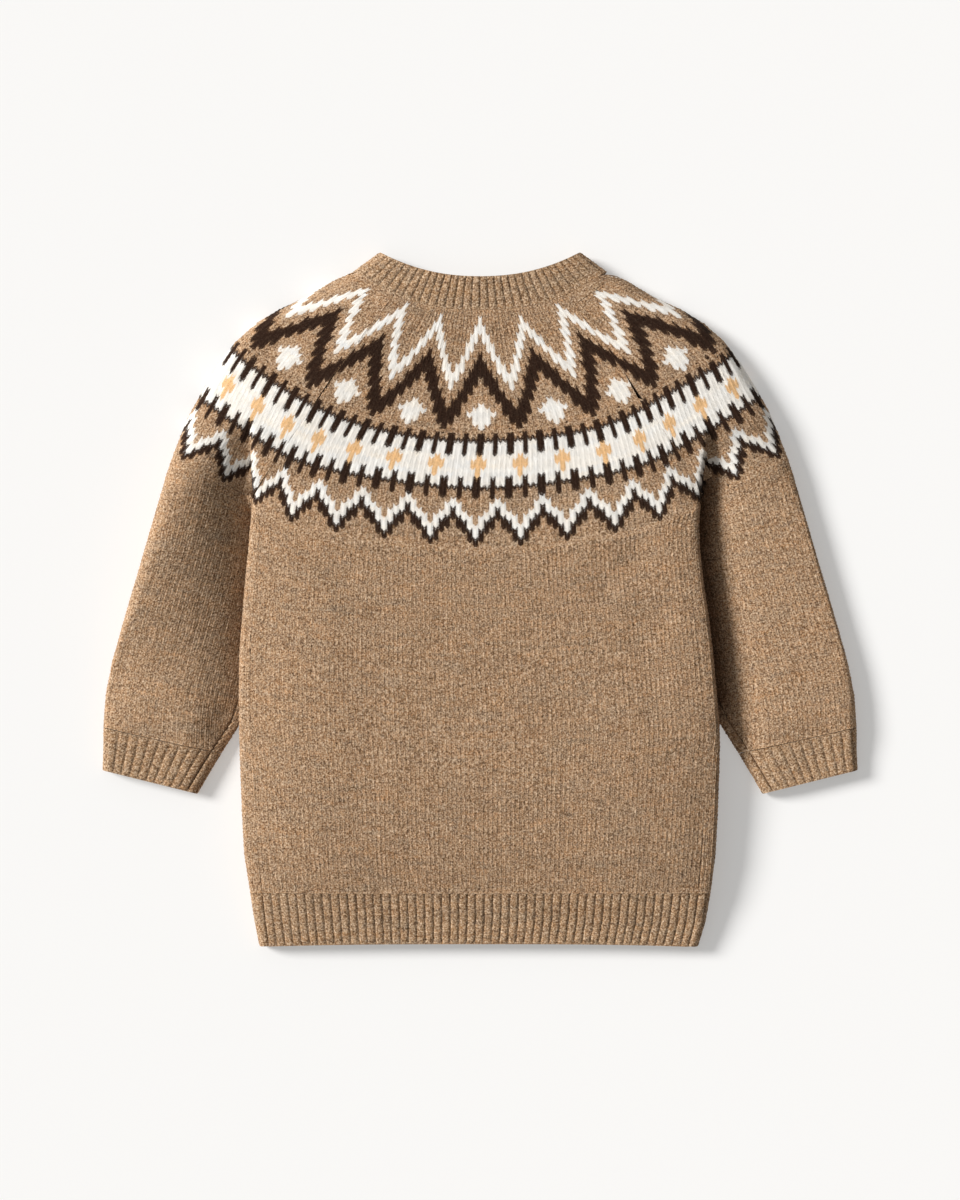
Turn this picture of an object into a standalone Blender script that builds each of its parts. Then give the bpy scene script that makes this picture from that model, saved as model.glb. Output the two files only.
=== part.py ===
"""A toddler's raglan jumper with a round patterned yoke, laid flat with its back uppermost.

Frame: metres, +Z up, the jumper rests on z = 0. +X runs to the wearer's right
sleeve, +Y from the hem to the neck. The origin is the middle of the garment's
outline, on the surface that it lies on. Sizes in the tables are millimetres.

Every panel is an open grid on the middle surface of the cloth, given a wall by
Solidify. The cloth is a flattened tube: an upper sheet at height top() and a
lower sheet at height bottom(), which meet in a rounded fold along each side.
"""

import bpy
import bmesh
import numpy as np

MM = 0.001
WALL = 2.4            # thickness of the knitted cloth
HALF = WALL / 2
SEAM = 0.3            # open gap between two pieces at a seam
REST = HALF           # height of the middle of a sheet that lies on the floor

HEM_Y = -203.2        # lowest line of the hem at the centre
HEM_CORNER_DROP = 1.6  # the hem's corners hang this much lower
RIB_Y = -172.6        # seam between the hem rib and the body
BAND = 20.0           # height of the neckband
UNDERARM_Y = 60.5
NECK_FOLD = (75.4, 193.4)     # where the neck seam meets the shoulder fold
BAND_PEAK = (59.6, 205.2)     # top corner of the neckband, at the same fold
BACK_NECK = (50.6, 179.0, 170.0, 2.4)    # raglan end x, y; centre y; roundness
FRONT_NECK = (55.0, 163.2, 128.0, 2.15)
BACK_BAND_TOP = 189.8
FRONT_BAND_TOP = 148.0

# Outer face of the body's two side folds, and the fold's own section.
# height: middle of the fold; r: radius of its upper and lower halves.
BODY_SIDE = dict(
    y=     (-204.8, -190.0, -172.6, -150.0, -126.0, -100.0, -86.0, -76.0, -66.0, -50.0, -30.0, -10.0, 10.0, 30.0, 44.0, 52.0, 60.5),
    left=  ( 130.4,  133.3,  136.0,  139.4,  140.6,  141.6, 142.0, 142.2, 142.2, 142.2, 141.8, 140.2, 138.6, 136.6, 135.4, 134.9, 134.6),
    right= ( 128.6,  133.4,  136.4,  139.2,  140.5,  141.3, 141.6, 141.4, 140.4, 139.0, 137.2, 134.8, 131.8, 129.6, 129.2, 129.8, 130.8),
    height=(   5.0,    5.9,    7.4,    8.4,    8.6,    8.8,   9.6,  11.4,  12.8,  12.8,  12.8,  12.8,  12.8,  12.8,  12.8,  11.2,   9.0),
    r=     (   3.8,    4.7,    6.2,    7.2,    7.2,    6.6,   5.6,   4.6,   4.0,   4.0,   4.0,   4.0,   4.0,   4.0,   4.0,   4.0,   4.0),
)
# How far the sleeve's inner fold lies under the body's side fold (middle to middle).
TUCK = dict(
    y=    (-70.0, -60.0, -45.0, -25.0, 0.0, 22.0, 32.0, 40.0, 46.0, 60.5),
    depth=( -2.0,   2.5,   6.0,   7.5, 7.5,  6.0,  3.0, -1.0, -2.8, -2.8),
)
# Sleeve sections from the cuff to the underarm. The inner end is either a
# point of its own, outside the body, or follows the tucked line at inner_y.
SLEEVE = dict(
    outer_x=     (223.6, 222.9, 222.8, 221.4, 217.4, 212.2, 206.5, 200.6, 195.6, 191.4, 188.0, 185.0, 181.6),
    outer_y=    (-100.6, -88.0, -75.2, -56.5, -36.8, -18.6,   0.9,  20.4,  37.6,  52.0,  63.4,  74.0,  84.4),
    inner_x=     (167.0, 160.2, 154.4, 144.9,   0.0,   0.0,   0.0,   0.0,   0.0,   0.0,   0.0,   0.0,   0.0),
    inner_y=    (-114.8,-102.2, -90.0, -71.5, -54.0, -34.0, -14.0,   6.0,  22.0,  34.0,  44.0,  52.0,  60.5),
    plateau=     (  9.4,  10.0,  11.2,  12.2,  13.0,  13.6,  14.0,  14.4,  14.8,  15.2,  15.5,  15.7,  15.8),
    dome=        (  0.6,   0.9,   1.4,   2.0,   2.6,   3.0,   3.4,   3.8,   4.2,   4.6,   4.9,   5.2,   5.4),
    outer_height=(  5.0,   5.4,   6.0,   6.6,   7.2,   7.4,   7.6,   7.8,   8.0,   8.0,   8.0,   8.0,   8.0),
    inner_height=(  5.0,   5.2,   5.2,   3.7,   3.4,   3.4,   3.4,   3.4,   3.4,   3.4,   4.2,   6.4,   9.0),
    inner_r=     (  3.8,   4.0,   4.0,   2.5,   2.2,   2.2,   2.2,   2.2,   2.2,   2.2,   3.0,   4.0,   4.0),
    inner_slope= ( 14.0,  14.0,  16.0,  26.0,  32.0,  32.0,  32.0,  32.0,  32.0,  30.0,  24.0,  18.0,  14.0),
)
CUFF_SECTIONS = 3     # the first three sections are the rib cuff
# Raglan seam of the back and of the front, from the underarm to the neck, and
# the shoulder outline at the same stations.
RAGLAN = dict(
    back_x= (0.0, 126.4, 119.4, 111.5, 102.5,  93.6,  84.8,  76.4,  67.6,  59.0,  50.6),
    back_y= (0.0,  72.2,  82.0,  93.4, 106.6, 119.6, 132.4, 144.6, 156.2, 167.6, 179.0),
    front_x=(0.0, 126.4, 119.4, 111.5, 102.5,  94.0,  86.0,  78.0,  70.0,  62.4,  55.0),
    front_y=(0.0,  72.2,  82.0,  93.4, 105.6, 116.6, 127.0, 136.6, 146.0, 154.8, 163.2),
    outer_x=(0.0, 175.8, 170.6, 163.6, 154.6, 144.6, 132.4, 118.6, 103.0,  87.0,  75.4),
    outer_y=(0.0,  99.4, 111.6, 124.0, 138.8, 152.2, 163.2, 171.6, 178.6, 188.2, 193.4),
)
# Height of the upper sheet along the body's length.
BODY_TOP = dict(
    y=      (-204.8, -190.0, -172.6, -150.0, -110.0, -50.0, 60.5, 130.0, 205.3),
    plateau=(   9.4,   10.4,   12.6,   14.6,   16.2,  16.6, 15.8,  15.0,  13.6),
    dome=   (   1.6,    2.4,    3.8,    5.0,    6.0,   6.0,  5.4,   4.6,   3.4),
)
DOME_REACH = 55.0     # the pillow's slope ends this far from a fold
EDGE_SLOPE = 14.0     # the shoulder of a plain fold ends this far in
CLIMB_FROM, CLIMB_TO = 10.0, 34.0   # the lower sheet lifts over a tucked sleeve
# The body's side seam lies this far inside the fold, on the upper sheet, and so does
# the sleeve's underarm seam, section by section.
SIDE_SEAM = dict(
    y=    (-204.8, -172.6, -150.0, -120.0, -95.0, -76.0, 44.0, 52.0, 60.5),
    inset=(   4.9,    6.8,    7.9,    7.9,   7.3,   5.6,  4.6,  2.6,  0.6),
)
SLEEVE_SEAM = (5.2, 5.2, 5.2, 4.6, 4.2, 4.0, 4.0, 4.0, 4.0, 4.0, 4.2, 2.6, 0.6)
# Half the gap between panels at each raglan station: the cloth stands on edge at the
# underarm, where its full thickness has to pass.
RAGLAN_GAP = dict(back=(1.45, 0.45, 0.22) + (SEAM / 2,) * 8, front=(1.45, 1.3, 0.5, 0.22) + (SEAM / 2,) * 7)
WING = (0.12, 0.45, 1.0)

COLLECTION = "fair_isle_jumper"
COLOURS = dict(oat=(0.30, 0.205, 0.125), rib=(0.28, 0.19, 0.115))


def smooth(q):
    q = np.clip(q, 0, 1)
    return q * q * (3 - 2 * q)


def ease(q):
    q = np.clip(q, 0, 1)
    return 1 - (1 - q) ** 2


def arc(q):
    q = np.clip(q, 0, 1)
    return np.sqrt(np.maximum(1 - (1 - q) ** 2, 0))


def read(table, column, at, key="y"):
    return np.interp(at, table[key], table[column])


def nearest(x, y, line):
    """Distance from each point to a polyline, and the place along it as a row number."""
    p = np.stack([np.ravel(x), np.ravel(y)], 1)[:, None]
    a, b = line[None, :-1], line[None, 1:]
    span = b - a
    t = np.clip(((p - a) * span).sum(2) / (span * span).sum(2), 0, 1)
    d = np.linalg.norm(p - a - t[..., None] * span, axis=2)
    k = d.argmin(1)
    pick = np.arange(len(k))
    shape = np.shape(x)
    return d[pick, k].reshape(shape), (k + t[pick, k]).reshape(shape)


def body_line(side):
    """Middle line of the body's side fold, hem to underarm. side is -1 or +1."""
    column = BODY_SIDE["left" if side < 0 else "right"]
    return np.array([(side * (x - HALF), y) for x, y in zip(column, BODY_SIDE["y"])])


def tucked(side, y):
    line = body_line(side)
    return side * (np.interp(y, line[:, 1], side * line[:, 0]) - np.interp(y, TUCK["y"], TUCK["depth"]))


def sleeve_lines(side):
    """Middle lines of a sleeve's outer and inner folds, cuff to underarm."""
    outer = np.array([(side * x, y) for x, y in zip(SLEEVE["outer_x"], SLEEVE["outer_y"])])
    inner = np.array([(side * x if x else tucked(side, y), y) for x, y in zip(SLEEVE["inner_x"], SLEEVE["inner_y"])])
    run = outer - inner
    run /= np.linalg.norm(run, axis=1)[:, None]
    free = np.array(SLEEVE["inner_x"]) > 0
    return outer - run * HALF, inner + run * HALF * free[:, None]


def shoulder_line(side):
    """The outer fold from the cuff over the shoulder to the top of the neckband."""
    outer, _ = sleeve_lines(side)
    rest = np.array([(side * x, y) for x, y in zip(RAGLAN["outer_x"], RAGLAN["outer_y"])])[1:]
    ahead = np.gradient(rest, axis=0)
    ahead /= np.linalg.norm(ahead, axis=1)[:, None]
    inward = np.stack([-ahead[:, 1], ahead[:, 0]], 1) * side
    peak = np.array([(side * (BAND_PEAK[0] - 0.7), BAND_PEAK[1] - 0.9)])
    return np.concatenate([outer, rest + inward * HALF, peak])


def fold_loss(d, high, low, r, slope, gentle):
    """How far a sheet at height high has dropped, d away from a fold at height low."""
    rest = high - low - r
    climb = np.where(gentle, smooth(d / slope), ease(d / slope))
    return (high - low) - r * arc(d / r) - rest * climb


class Form:
    """Heights of the upper and lower sheet over the plan."""

    def __init__(self):
        self.body = {s: body_line(s) for s in (-1, 1)}
        self.outer = {s: shoulder_line(s) for s in (-1, 1)}
        self.inner = {s: sleeve_lines(s)[1] for s in (-1, 1)}

    def outer_fold(self, side, x, y):
        d, k = nearest(x, y, self.outer[side])
        rows = len(SLEEVE["outer_height"])
        height = np.interp(k, list(range(rows)) + [rows + 9, rows + 11], list(SLEEVE["outer_height"]) + [7.4, 7.0])
        return d, height, height - REST, k

    def body_sheets(self, x, y):
        high = read(BODY_TOP, "plateau", y)
        dome = read(BODY_TOP, "dome", y)
        swell = np.ones_like(x)
        folds = []
        for side in (-1, 1):
            d, k = nearest(x, y, self.body[side])
            rows = np.arange(len(BODY_SIDE["y"]))
            folds.append((d, np.interp(k, rows, BODY_SIDE["height"]), np.interp(k, rows, BODY_SIDE["r"])))
            swell = swell * ease(d / DOME_REACH)
            d, height, r, k = self.outer_fold(side, x, y)
            folds.append((d, height, r))
            swell = swell * ease(d / DOME_REACH)
        high = high + dome * swell
        top, bottom = high.copy(), np.full_like(high, REST)
        for d, height, r in folds:
            top -= fold_loss(d, high, height, r, EDGE_SLOPE, False)
            lift = np.maximum(height - REST - r, 0)
            climb = smooth((d - CLIMB_FROM) / (CLIMB_TO - CLIMB_FROM))
            bottom += (height - REST) - r * arc(d / r) - lift * climb
        return top, bottom

    def sleeve_sheets(self, side, x, y):
        rows = np.arange(len(SLEEVE["outer_x"]))
        d1, height1, r1, k1 = self.outer_fold(side, x, y)
        d2, k2 = nearest(x, y, self.inner[side])
        # A point's place along the sleeve, from both folds, so that the plateau runs evenly across.
        k = np.where(k1 > rows[-1], rows[-1] + 0.0 * k1, (k1 * d2 + k2 * d1) / (d1 + d2 + 1e-9))
        high = np.interp(k, rows, SLEEVE["plateau"])
        dome = np.interp(k, rows, SLEEVE["dome"])
        # Above the underarm the sheet is one with the body's.
        join = smooth((k1 - rows[-1] + 1.5) / 3.0)
        high = high * (1 - join) + read(BODY_TOP, "plateau", y) * join
        dome = dome * (1 - join) + read(BODY_TOP, "dome", y) * join
        d3, _ = nearest(x, y, self.body[side])
        swell = ease(d1 / DOME_REACH) * ease(d2 / (DOME_REACH - 15.0 * (1 - join)))
        high = high + dome * swell
        height2 = np.interp(k2, rows, SLEEVE["inner_height"])
        r2 = np.interp(k2, rows, SLEEVE["inner_r"])
        slope2 = np.interp(k2, rows, SLEEVE["inner_slope"])
        blend = np.clip((slope2 - 14.0) / 14.0, 0, 1)
        sharp = fold_loss(d2, high, height2, r2, slope2, False)
        soft = fold_loss(d2, high, height2, r2, slope2, True)
        top = high - fold_loss(d1, high, height1, r1, EDGE_SLOPE, False) - sharp * (1 - blend) - soft * blend
        lift = np.maximum(height2 - REST - r2, 0)
        climb = smooth((d2 - CLIMB_FROM) / (CLIMB_TO - CLIMB_FROM))
        bottom = REST + (height1 - REST) - r1 * arc(d1 / r1) + (height2 - REST) - r2 * arc(d2 / r2) - lift * climb
        return top, bottom


FORM = Form()


def spread(count):
    """Places from 0 to 1, close together at both ends, where a fold turns."""
    return 0.5 - 0.5 * np.cos(np.pi * np.linspace(0, 1, count + 1))


def raglan(side, which):
    """The seam's stations from the underarm to the neck."""
    line = np.array([(side * x, y) for x, y in zip(RAGLAN[which + "_x"], RAGLAN[which + "_y"])])
    line[0] = FORM.body[side][-1]
    return line


def neck_curve(x, spec):
    end, high, low, power = spec
    return high - (high - low) * (1 - np.abs(np.clip(x / end, -1, 1)) ** power)


def body_rows(which):
    """Plan of a body panel above the hem rib: a row of (x, y) from left to right for each station."""
    spec = BACK_NECK if which == "back" else FRONT_NECK
    across = spread(BODY_COLUMNS)
    rows = []
    for y in BODY_STATIONS:
        ends = [np.interp(y, FORM.body[s][:, 1], FORM.body[s][:, 0]) for s in (-1, 1)]
        rows.append(np.stack([ends[0] + (ends[1] - ends[0]) * across, np.full(len(across), y)], 1))
    left, right = raglan(-1, which), raglan(1, which)
    count = len(left) - 1
    for k in range(1, count + 1):
        gap = RAGLAN_GAP[which][k]
        a, b = left[k] + (gap, 0), right[k] - (gap, 0)
        x = a[0] + (b[0] - a[0]) * across
        y = a[1] + (b[1] - a[1]) * across
        share = smooth(k / count) if which == "back" else (k / count) ** 1.5
        dip = neck_curve(x / abs(a[0]) * spec[0], spec) - spec[1]
        if k == count:
            y = y - SEAM / 2
        rows.append(np.stack([x, y + dip * share], 1))
    return rows


def lay_body(which, rows, on_side):
    """Heights for a body panel's plan. The back panel stops at the side seam, on the upper
    sheet. The front panel carries on round the fold and up to that seam."""
    out = []
    for row, sided in zip(rows, on_side):
        x, y = row[:, 0].copy(), row[:, 1].copy()
        a, b = x[0], x[-1]
        inset = np.interp(y[0], SIDE_SEAM["y"], SIDE_SEAM["inset"])
        if which == "back":
            if sided:
                x = (a + inset + SEAM / 2) + (b - a - 2 * inset - SEAM) * (x - a) / (b - a)
            out.append(np.stack([x, y, FORM.body_sheets(x, y)[0]], 1))
            continue
        sheet = np.stack([x, y, FORM.body_sheets(x, y)[1]], 1)
        if sided:
            d = (inset - SEAM / 2) * np.array(WING)
            wings = []
            for edge, inward in ((a, 1), (b, -1)):
                wx, wy = edge + inward * d, np.full(len(WING), y[0])
                wings.append(np.stack([wx, wy, FORM.body_sheets(wx, wy)[0]], 1))
            out.append(np.concatenate([wings[0][::-1], sheet, wings[1]]))
        else:
            # No fold above the underarm: the wings' columns close up at the raglan.
            ends = []
            for first, second in ((sheet[0], sheet[1]), (sheet[-1], sheet[-2])):
                ends.append([first + (second - first) * t for t in (0.0, 0.2, 0.4, 0.6)])
            inner = sheet.copy()
            inner[0], inner[-1] = ends[0][3], ends[1][3]
            out.append(np.concatenate([ends[0][:3], inner, ends[1][2::-1]]))
    return out


def lay_sleeve(side, sections):
    """Rows of a sleeve: seam, upper sheet, outer fold, lower sheet, inner fold, seam."""
    outer, inner = sleeve_lines(side)
    count = len(outer)
    shoulder = FORM.outer[side]
    back, front = raglan(side, "back"), raglan(side, "front")
    over, under = SLEEVE_COLUMNS
    across = spread(over)
    rows = []
    for k in sections:
        if k < count:
            o, i = outer[k], inner[k]
            width = np.linalg.norm(o - i)
            start = (SLEEVE_SEAM[k] + SEAM / 2) / width
            stop = (SLEEVE_SEAM[k] - SEAM / 2) / width
            upper = i + (o - i) * (start + (1 - start) * across)[:, None]
            lower = i + (o - i) * spread(under)[::-1][1:, None]
            wing = i + (o - i) * (stop * np.array(WING))[:, None]
            wz = FORM.sleeve_sheets(side, wing[:, 0], wing[:, 1])[0]
        else:
            j = k - count + 1
            gap = np.array((side, 0))
            o, i, f = shoulder[k], back[j] + gap * RAGLAN_GAP["back"][j], front[j] + gap * RAGLAN_GAP["front"][j]
            if j == len(back) - 1:
                down = np.array((0, -SEAM / 2))
                o, i, f = o + down, i + down, f + down
            upper = i + (o - i) * across[:, None]
            places = spread(under)[::-1][1:]
            edge = 0.6 * spread(under)[1]
            places[-1] = edge
            lower = f + (o - f) * places[:, None]
            wing = f + (o - f) * (edge * np.array((0.66, 0.33, 0.0)))[:, None]
            wz = FORM.sleeve_sheets(side, wing[:, 0], wing[:, 1])[1]
        tz = FORM.sleeve_sheets(side, upper[:, 0], upper[:, 1])[0]
        bz = FORM.sleeve_sheets(side, lower[:, 0], lower[:, 1])[1]
        rows.append(np.concatenate([np.column_stack([upper, tz]), np.column_stack([lower, bz]), np.column_stack([wing, wz])]))
    return rows


def lay_neckband(back, front, sleeves):
    """Rings from the neck seam to the band's top edge. The first ring runs along the top rows of
    the pieces that it is sewn to: round the back from fold to fold, then round the front."""
    over, under = SLEEVE_COLUMNS
    keep = list(range(0, over - 4, 2)) + list(range(over - 4, over + 1))
    left, right = sleeves
    tops = []
    for rows, picks in (
        (left, keep[::-1]),
        (back, range(1, BODY_COLUMNS, 2)),
        (right, keep),
        (right, [over + 1, over + 2] + list(range(over + 4, over + under, 2))),
        (front, range(len(front[0]) - 4, 3, -2)),
        (left, ([over + 1, over + 2] + list(range(over + 4, over + under, 2)))[::-1]),
    ):
        for c in picks:
            last, before = rows[-1][c], rows[-2][c]
            ahead = (last - before) / np.linalg.norm(last - before)
            tops.append(last + ahead * SEAM)
    seam = np.array(tops)
    half = 2 * len(keep) + len(range(1, BODY_COLUMNS, 2))
    peak = BAND_PEAK[0] - 1.1, BAND_PEAK[1] - 1.0
    rings = []
    for share in (0.0, 0.34, 0.67, 1.0):
        u = seam[:, 0] / np.abs(seam[:half, 0]).max()
        x = seam[:, 0] + (u * peak[0] - seam[:, 0]) * share
        low = np.where(np.arange(len(u)) < half, BACK_BAND_TOP, FRONT_BAND_TOP)
        power = np.where(np.arange(len(u)) < half, 2.2, FRONT_NECK[3])
        top = peak[1] - (peak[1] - low) * (1 - np.abs(u) ** power)
        y = seam[:, 1] + (top - seam[:, 1]) * share
        upper, lower = FORM.body_sheets(x, y)
        z = np.where(np.arange(len(u)) < half, upper, lower)
        if share == 0:
            z = seam[:, 2]
        rings.append(np.column_stack([x, y, z]))
    return rings


def material(name, colour):
    made = bpy.data.materials.new(name)
    made.use_nodes = True
    shader = made.node_tree.nodes["Principled BSDF"]
    shader.inputs["Base Color"].default_value = (*colour, 1)
    shader.inputs["Roughness"].default_value = 0.9
    shader.inputs["Metallic"].default_value = 0.0
    return made


def panel(name, rows, colour, ring=False):
    """One knitted piece: a grid through its rows, walled by Solidify."""
    mesh = bpy.data.meshes.new(name)
    made = bmesh.new()
    grid = [[made.verts.new(np.array(point) * MM) for point in row] for row in rows]
    columns = len(grid[0])
    for a, b in zip(grid, grid[1:]):
        for c in range(columns if ring else columns - 1):
            d = (c + 1) % columns
            made.faces.new((a[c], a[d], b[d], b[c]))
    made.normal_update()
    made.to_mesh(mesh)
    made.free()
    mesh.shade_smooth()
    item = bpy.data.objects.new(name, mesh)
    collection.objects.link(item)
    item.data.materials.append(material(name + "_yarn", colour))
    wall = item.modifiers.new("wall", "SOLIDIFY")
    wall.thickness = WALL * MM
    wall.offset = 0.0
    wall.use_even_offset = False
    return item


BODY_COLUMNS = 16
SLEEVE_COLUMNS = (10, 9)
BODY_STATIONS = (RIB_Y + SEAM / 2, -150.0, -126.0, -104.0, -88.0, -76.0, -64.0, -48.0, -26.0, -4.0, 18.0, 34.0, 44.0, 52.0, UNDERARM_Y)

for old in list(bpy.data.objects):
    bpy.data.objects.remove(old, do_unlink=True)
collection = bpy.data.collections.new(COLLECTION)
bpy.context.scene.collection.children.link(collection)

bodies, sleeves = [], []
for which in ("back", "front"):
    rows = body_rows(which)
    on_side = [n < len(BODY_STATIONS) for n in range(len(rows))]
    bodies.append(lay_body(which, rows, on_side))
    panel("body_" + which, bodies[-1], COLOURS["oat"])

    across = spread(BODY_COLUMNS)
    rib = []
    for share in (0.0, 0.34, 0.67, 1.0):
        y = (RIB_Y - SEAM / 2) + (HEM_Y - RIB_Y + SEAM / 2) * share
        ends = [np.interp(y, FORM.body[s][:, 1], FORM.body[s][:, 0]) for s in (-1, 1)]
        x = ends[0] + (ends[1] - ends[0]) * across
        drop = HEM_CORNER_DROP * share * np.abs(2 * across - 1) ** 3
        rib.append(np.stack([x, y - drop], 1))
    panel("hem_rib_" + which, lay_body(which, rib, [True] * len(rib)), COLOURS["rib"])

for side, name in ((-1, "left"), (1, "right")):
    last = len(SLEEVE["outer_x"]) + len(RAGLAN["back_x"]) - 1
    rows = lay_sleeve(side, range(CUFF_SECTIONS - 1, last))
    cuff = lay_sleeve(side, range(0, CUFF_SECTIONS))
    # The cuff and the sleeve share a seam section, drawn apart along the sleeve.
    along = rows[1] - rows[0]
    along /= np.linalg.norm(along, axis=1)[:, None]
    rows[0] = rows[0] + along * (SEAM / 2)
    cuff[-1] = cuff[-1] - along * (SEAM / 2)
    sleeves.append(rows)
    panel("sleeve_" + name, rows, COLOURS["oat"])
    panel("cuff_" + name, cuff, COLOURS["rib"])

panel("neckband", lay_neckband(*bodies, sleeves), COLOURS["rib"], ring=True)
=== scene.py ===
"""The looks of the jumper: every stitch is modelled on thin closed shells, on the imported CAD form.

Frame and forms are those of part.py: metres in Blender, millimetres in the tables. The cloth
is a flattened tube. Each knitted piece is laid as columns of stitches (wales) in rows
(courses). A stitch is a V: its borders climb from the middle of its wale to the wale's sides.
"""

import math

import bpy
import numpy as np
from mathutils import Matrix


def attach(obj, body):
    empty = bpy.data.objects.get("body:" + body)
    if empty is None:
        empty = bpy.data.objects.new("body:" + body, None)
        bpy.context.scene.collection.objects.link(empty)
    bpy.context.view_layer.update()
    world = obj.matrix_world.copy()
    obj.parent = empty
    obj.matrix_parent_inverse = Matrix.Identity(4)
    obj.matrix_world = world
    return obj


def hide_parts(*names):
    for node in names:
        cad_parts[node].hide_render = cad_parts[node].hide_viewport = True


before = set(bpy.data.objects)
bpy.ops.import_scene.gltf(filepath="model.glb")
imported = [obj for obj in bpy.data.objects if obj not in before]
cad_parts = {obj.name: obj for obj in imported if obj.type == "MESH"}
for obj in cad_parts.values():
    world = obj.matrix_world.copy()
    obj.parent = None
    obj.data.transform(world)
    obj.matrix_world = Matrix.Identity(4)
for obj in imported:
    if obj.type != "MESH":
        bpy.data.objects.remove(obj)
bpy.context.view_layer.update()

MM = 0.001
WALL = 2.4            # thickness of the knitted cloth
HALF = WALL / 2
SEAM = 0.3            # open gap between two pieces at a seam
REST = HALF           # height of the middle of a sheet that lies on the floor

HEM_Y = -203.2        # lowest line of the hem at the centre
HEM_CORNER_DROP = 1.6  # the hem's corners hang this much lower
RIB_Y = -172.6        # seam between the hem rib and the body
BAND = 20.0           # height of the neckband
UNDERARM_Y = 60.5
NECK_FOLD = (75.4, 193.4)     # where the neck seam meets the shoulder fold
BAND_PEAK = (59.6, 205.2)     # top corner of the neckband, at the same fold
BACK_NECK = (50.6, 179.0, 170.0, 2.4)    # raglan end x, y; centre y; roundness
FRONT_NECK = (55.0, 163.2, 128.0, 2.15)
BACK_BAND_TOP = 189.8
FRONT_BAND_TOP = 148.0

# Outer face of the body's two side folds, and the fold's own section.
# height: middle of the fold; r: radius of its upper and lower halves.
BODY_SIDE = dict(
    y=     (-204.8, -190.0, -172.6, -150.0, -126.0, -100.0, -86.0, -76.0, -66.0, -50.0, -30.0, -10.0, 10.0, 30.0, 44.0, 52.0, 60.5),
    left=  ( 130.4,  133.3,  136.0,  139.4,  140.6,  141.6, 142.0, 142.2, 142.2, 142.2, 141.8, 140.2, 138.6, 136.6, 135.4, 134.9, 134.6),
    right= ( 128.6,  133.4,  136.4,  139.2,  140.5,  141.3, 141.6, 141.4, 140.4, 139.0, 137.2, 134.8, 131.8, 129.6, 129.2, 129.8, 130.8),
    height=(   4.4,    5.6,    7.4,    8.4,    8.6,    8.8,   9.6,  11.4,  12.8,  12.8,  12.8,  12.8,  12.8,  12.8,  12.8,  11.2,   9.0),
    r=     (   3.2,    4.4,    6.2,    7.2,    7.2,    6.6,   5.6,   4.6,   4.0,   4.0,   4.0,   4.0,   4.0,   4.0,   4.0,   4.0,   4.0),
)
# How far the sleeve's inner fold lies under the body's side fold (middle to middle).
TUCK = dict(
    y=    (-70.0, -60.0, -45.0, -25.0, 0.0, 22.0, 32.0, 40.0, 46.0, 53.0, 60.5),
    depth=( -2.0,   2.5,   6.0,   7.5, 7.5,  6.5,  5.0,  3.6,  2.4,  0.6, -1.6),
)
# Sleeve sections from the cuff to the underarm. The inner end is either a
# point of its own, outside the body, or follows the tucked line at inner_y.
SLEEVE = dict(
    outer_x=     (223.6, 222.9, 222.8, 221.4, 217.4, 212.2, 206.5, 200.6, 195.6, 191.4, 188.0, 185.0, 181.6),
    outer_y=    (-100.6, -88.0, -75.2, -56.5, -36.8, -18.6,   0.9,  20.4,  37.6,  52.0,  63.4,  74.0,  84.4),
    inner_x=     (167.0, 159.8, 152.8, 141.6,   0.0,   0.0,   0.0,   0.0,   0.0,   0.0,   0.0,   0.0,   0.0),
    inner_y=    (-114.8,-102.4, -91.0, -73.5, -54.0, -34.0, -14.0,   6.0,  22.0,  34.0,  44.0,  52.0,  60.5),
    plateau=     (  8.0,   9.4,  11.1,  12.2,  13.0,  13.6,  14.0,  14.4,  14.8,  15.2,  15.5,  15.7,  15.8),
    dome=        (  0.6,   0.9,   1.4,   2.0,   2.6,   3.0,   3.4,   3.8,   4.2,   4.6,   4.9,   5.2,   5.4),
    outer_height=(  4.4,   5.1,   5.9,   6.6,   7.2,   7.4,   7.6,   7.8,   8.0,   8.0,   8.0,   8.0,   8.0),
    inner_height=(  4.2,   4.4,   3.8,   3.0,   3.4,   3.4,   3.4,   3.4,   3.4,   3.4,   3.4,   4.2,   8.0),
    inner_r=     (  3.0,   3.0,   2.6,   1.8,   2.2,   2.2,   2.2,   2.2,   2.2,   2.2,   2.2,   3.0,   4.0),
    inner_slope= ( 14.0,  17.0,  23.0,  29.0,  32.0,  32.0,  32.0,  32.0,  32.0,  30.0,  24.0,  18.0,  14.0),
)
CUFF_SECTIONS = 3     # the first three sections are the rib cuff
# Raglan seam of the back and of the front, from the underarm to the neck, and
# the shoulder outline at the same stations.
RAGLAN = dict(
    back_x= (0.0, 126.4, 119.4, 111.5, 102.5,  93.6,  84.8,  76.4,  67.6,  59.0,  50.6),
    back_y= (0.0,  72.2,  82.0,  93.4, 106.6, 119.6, 132.4, 144.6, 156.2, 167.6, 179.0),
    front_x=(0.0, 126.4, 119.4, 111.5, 102.5,  94.0,  86.0,  78.0,  70.0,  62.4,  55.0),
    front_y=(0.0,  72.2,  82.0,  93.4, 105.6, 116.6, 127.0, 136.6, 146.0, 154.8, 163.2),
    outer_x=(0.0, 175.8, 170.6, 163.6, 154.6, 144.6, 132.4, 118.6, 103.0,  87.0,  75.4),
    outer_y=(0.0,  99.4, 111.6, 124.0, 138.8, 152.2, 163.2, 171.6, 178.6, 188.2, 193.4),
)
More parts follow.
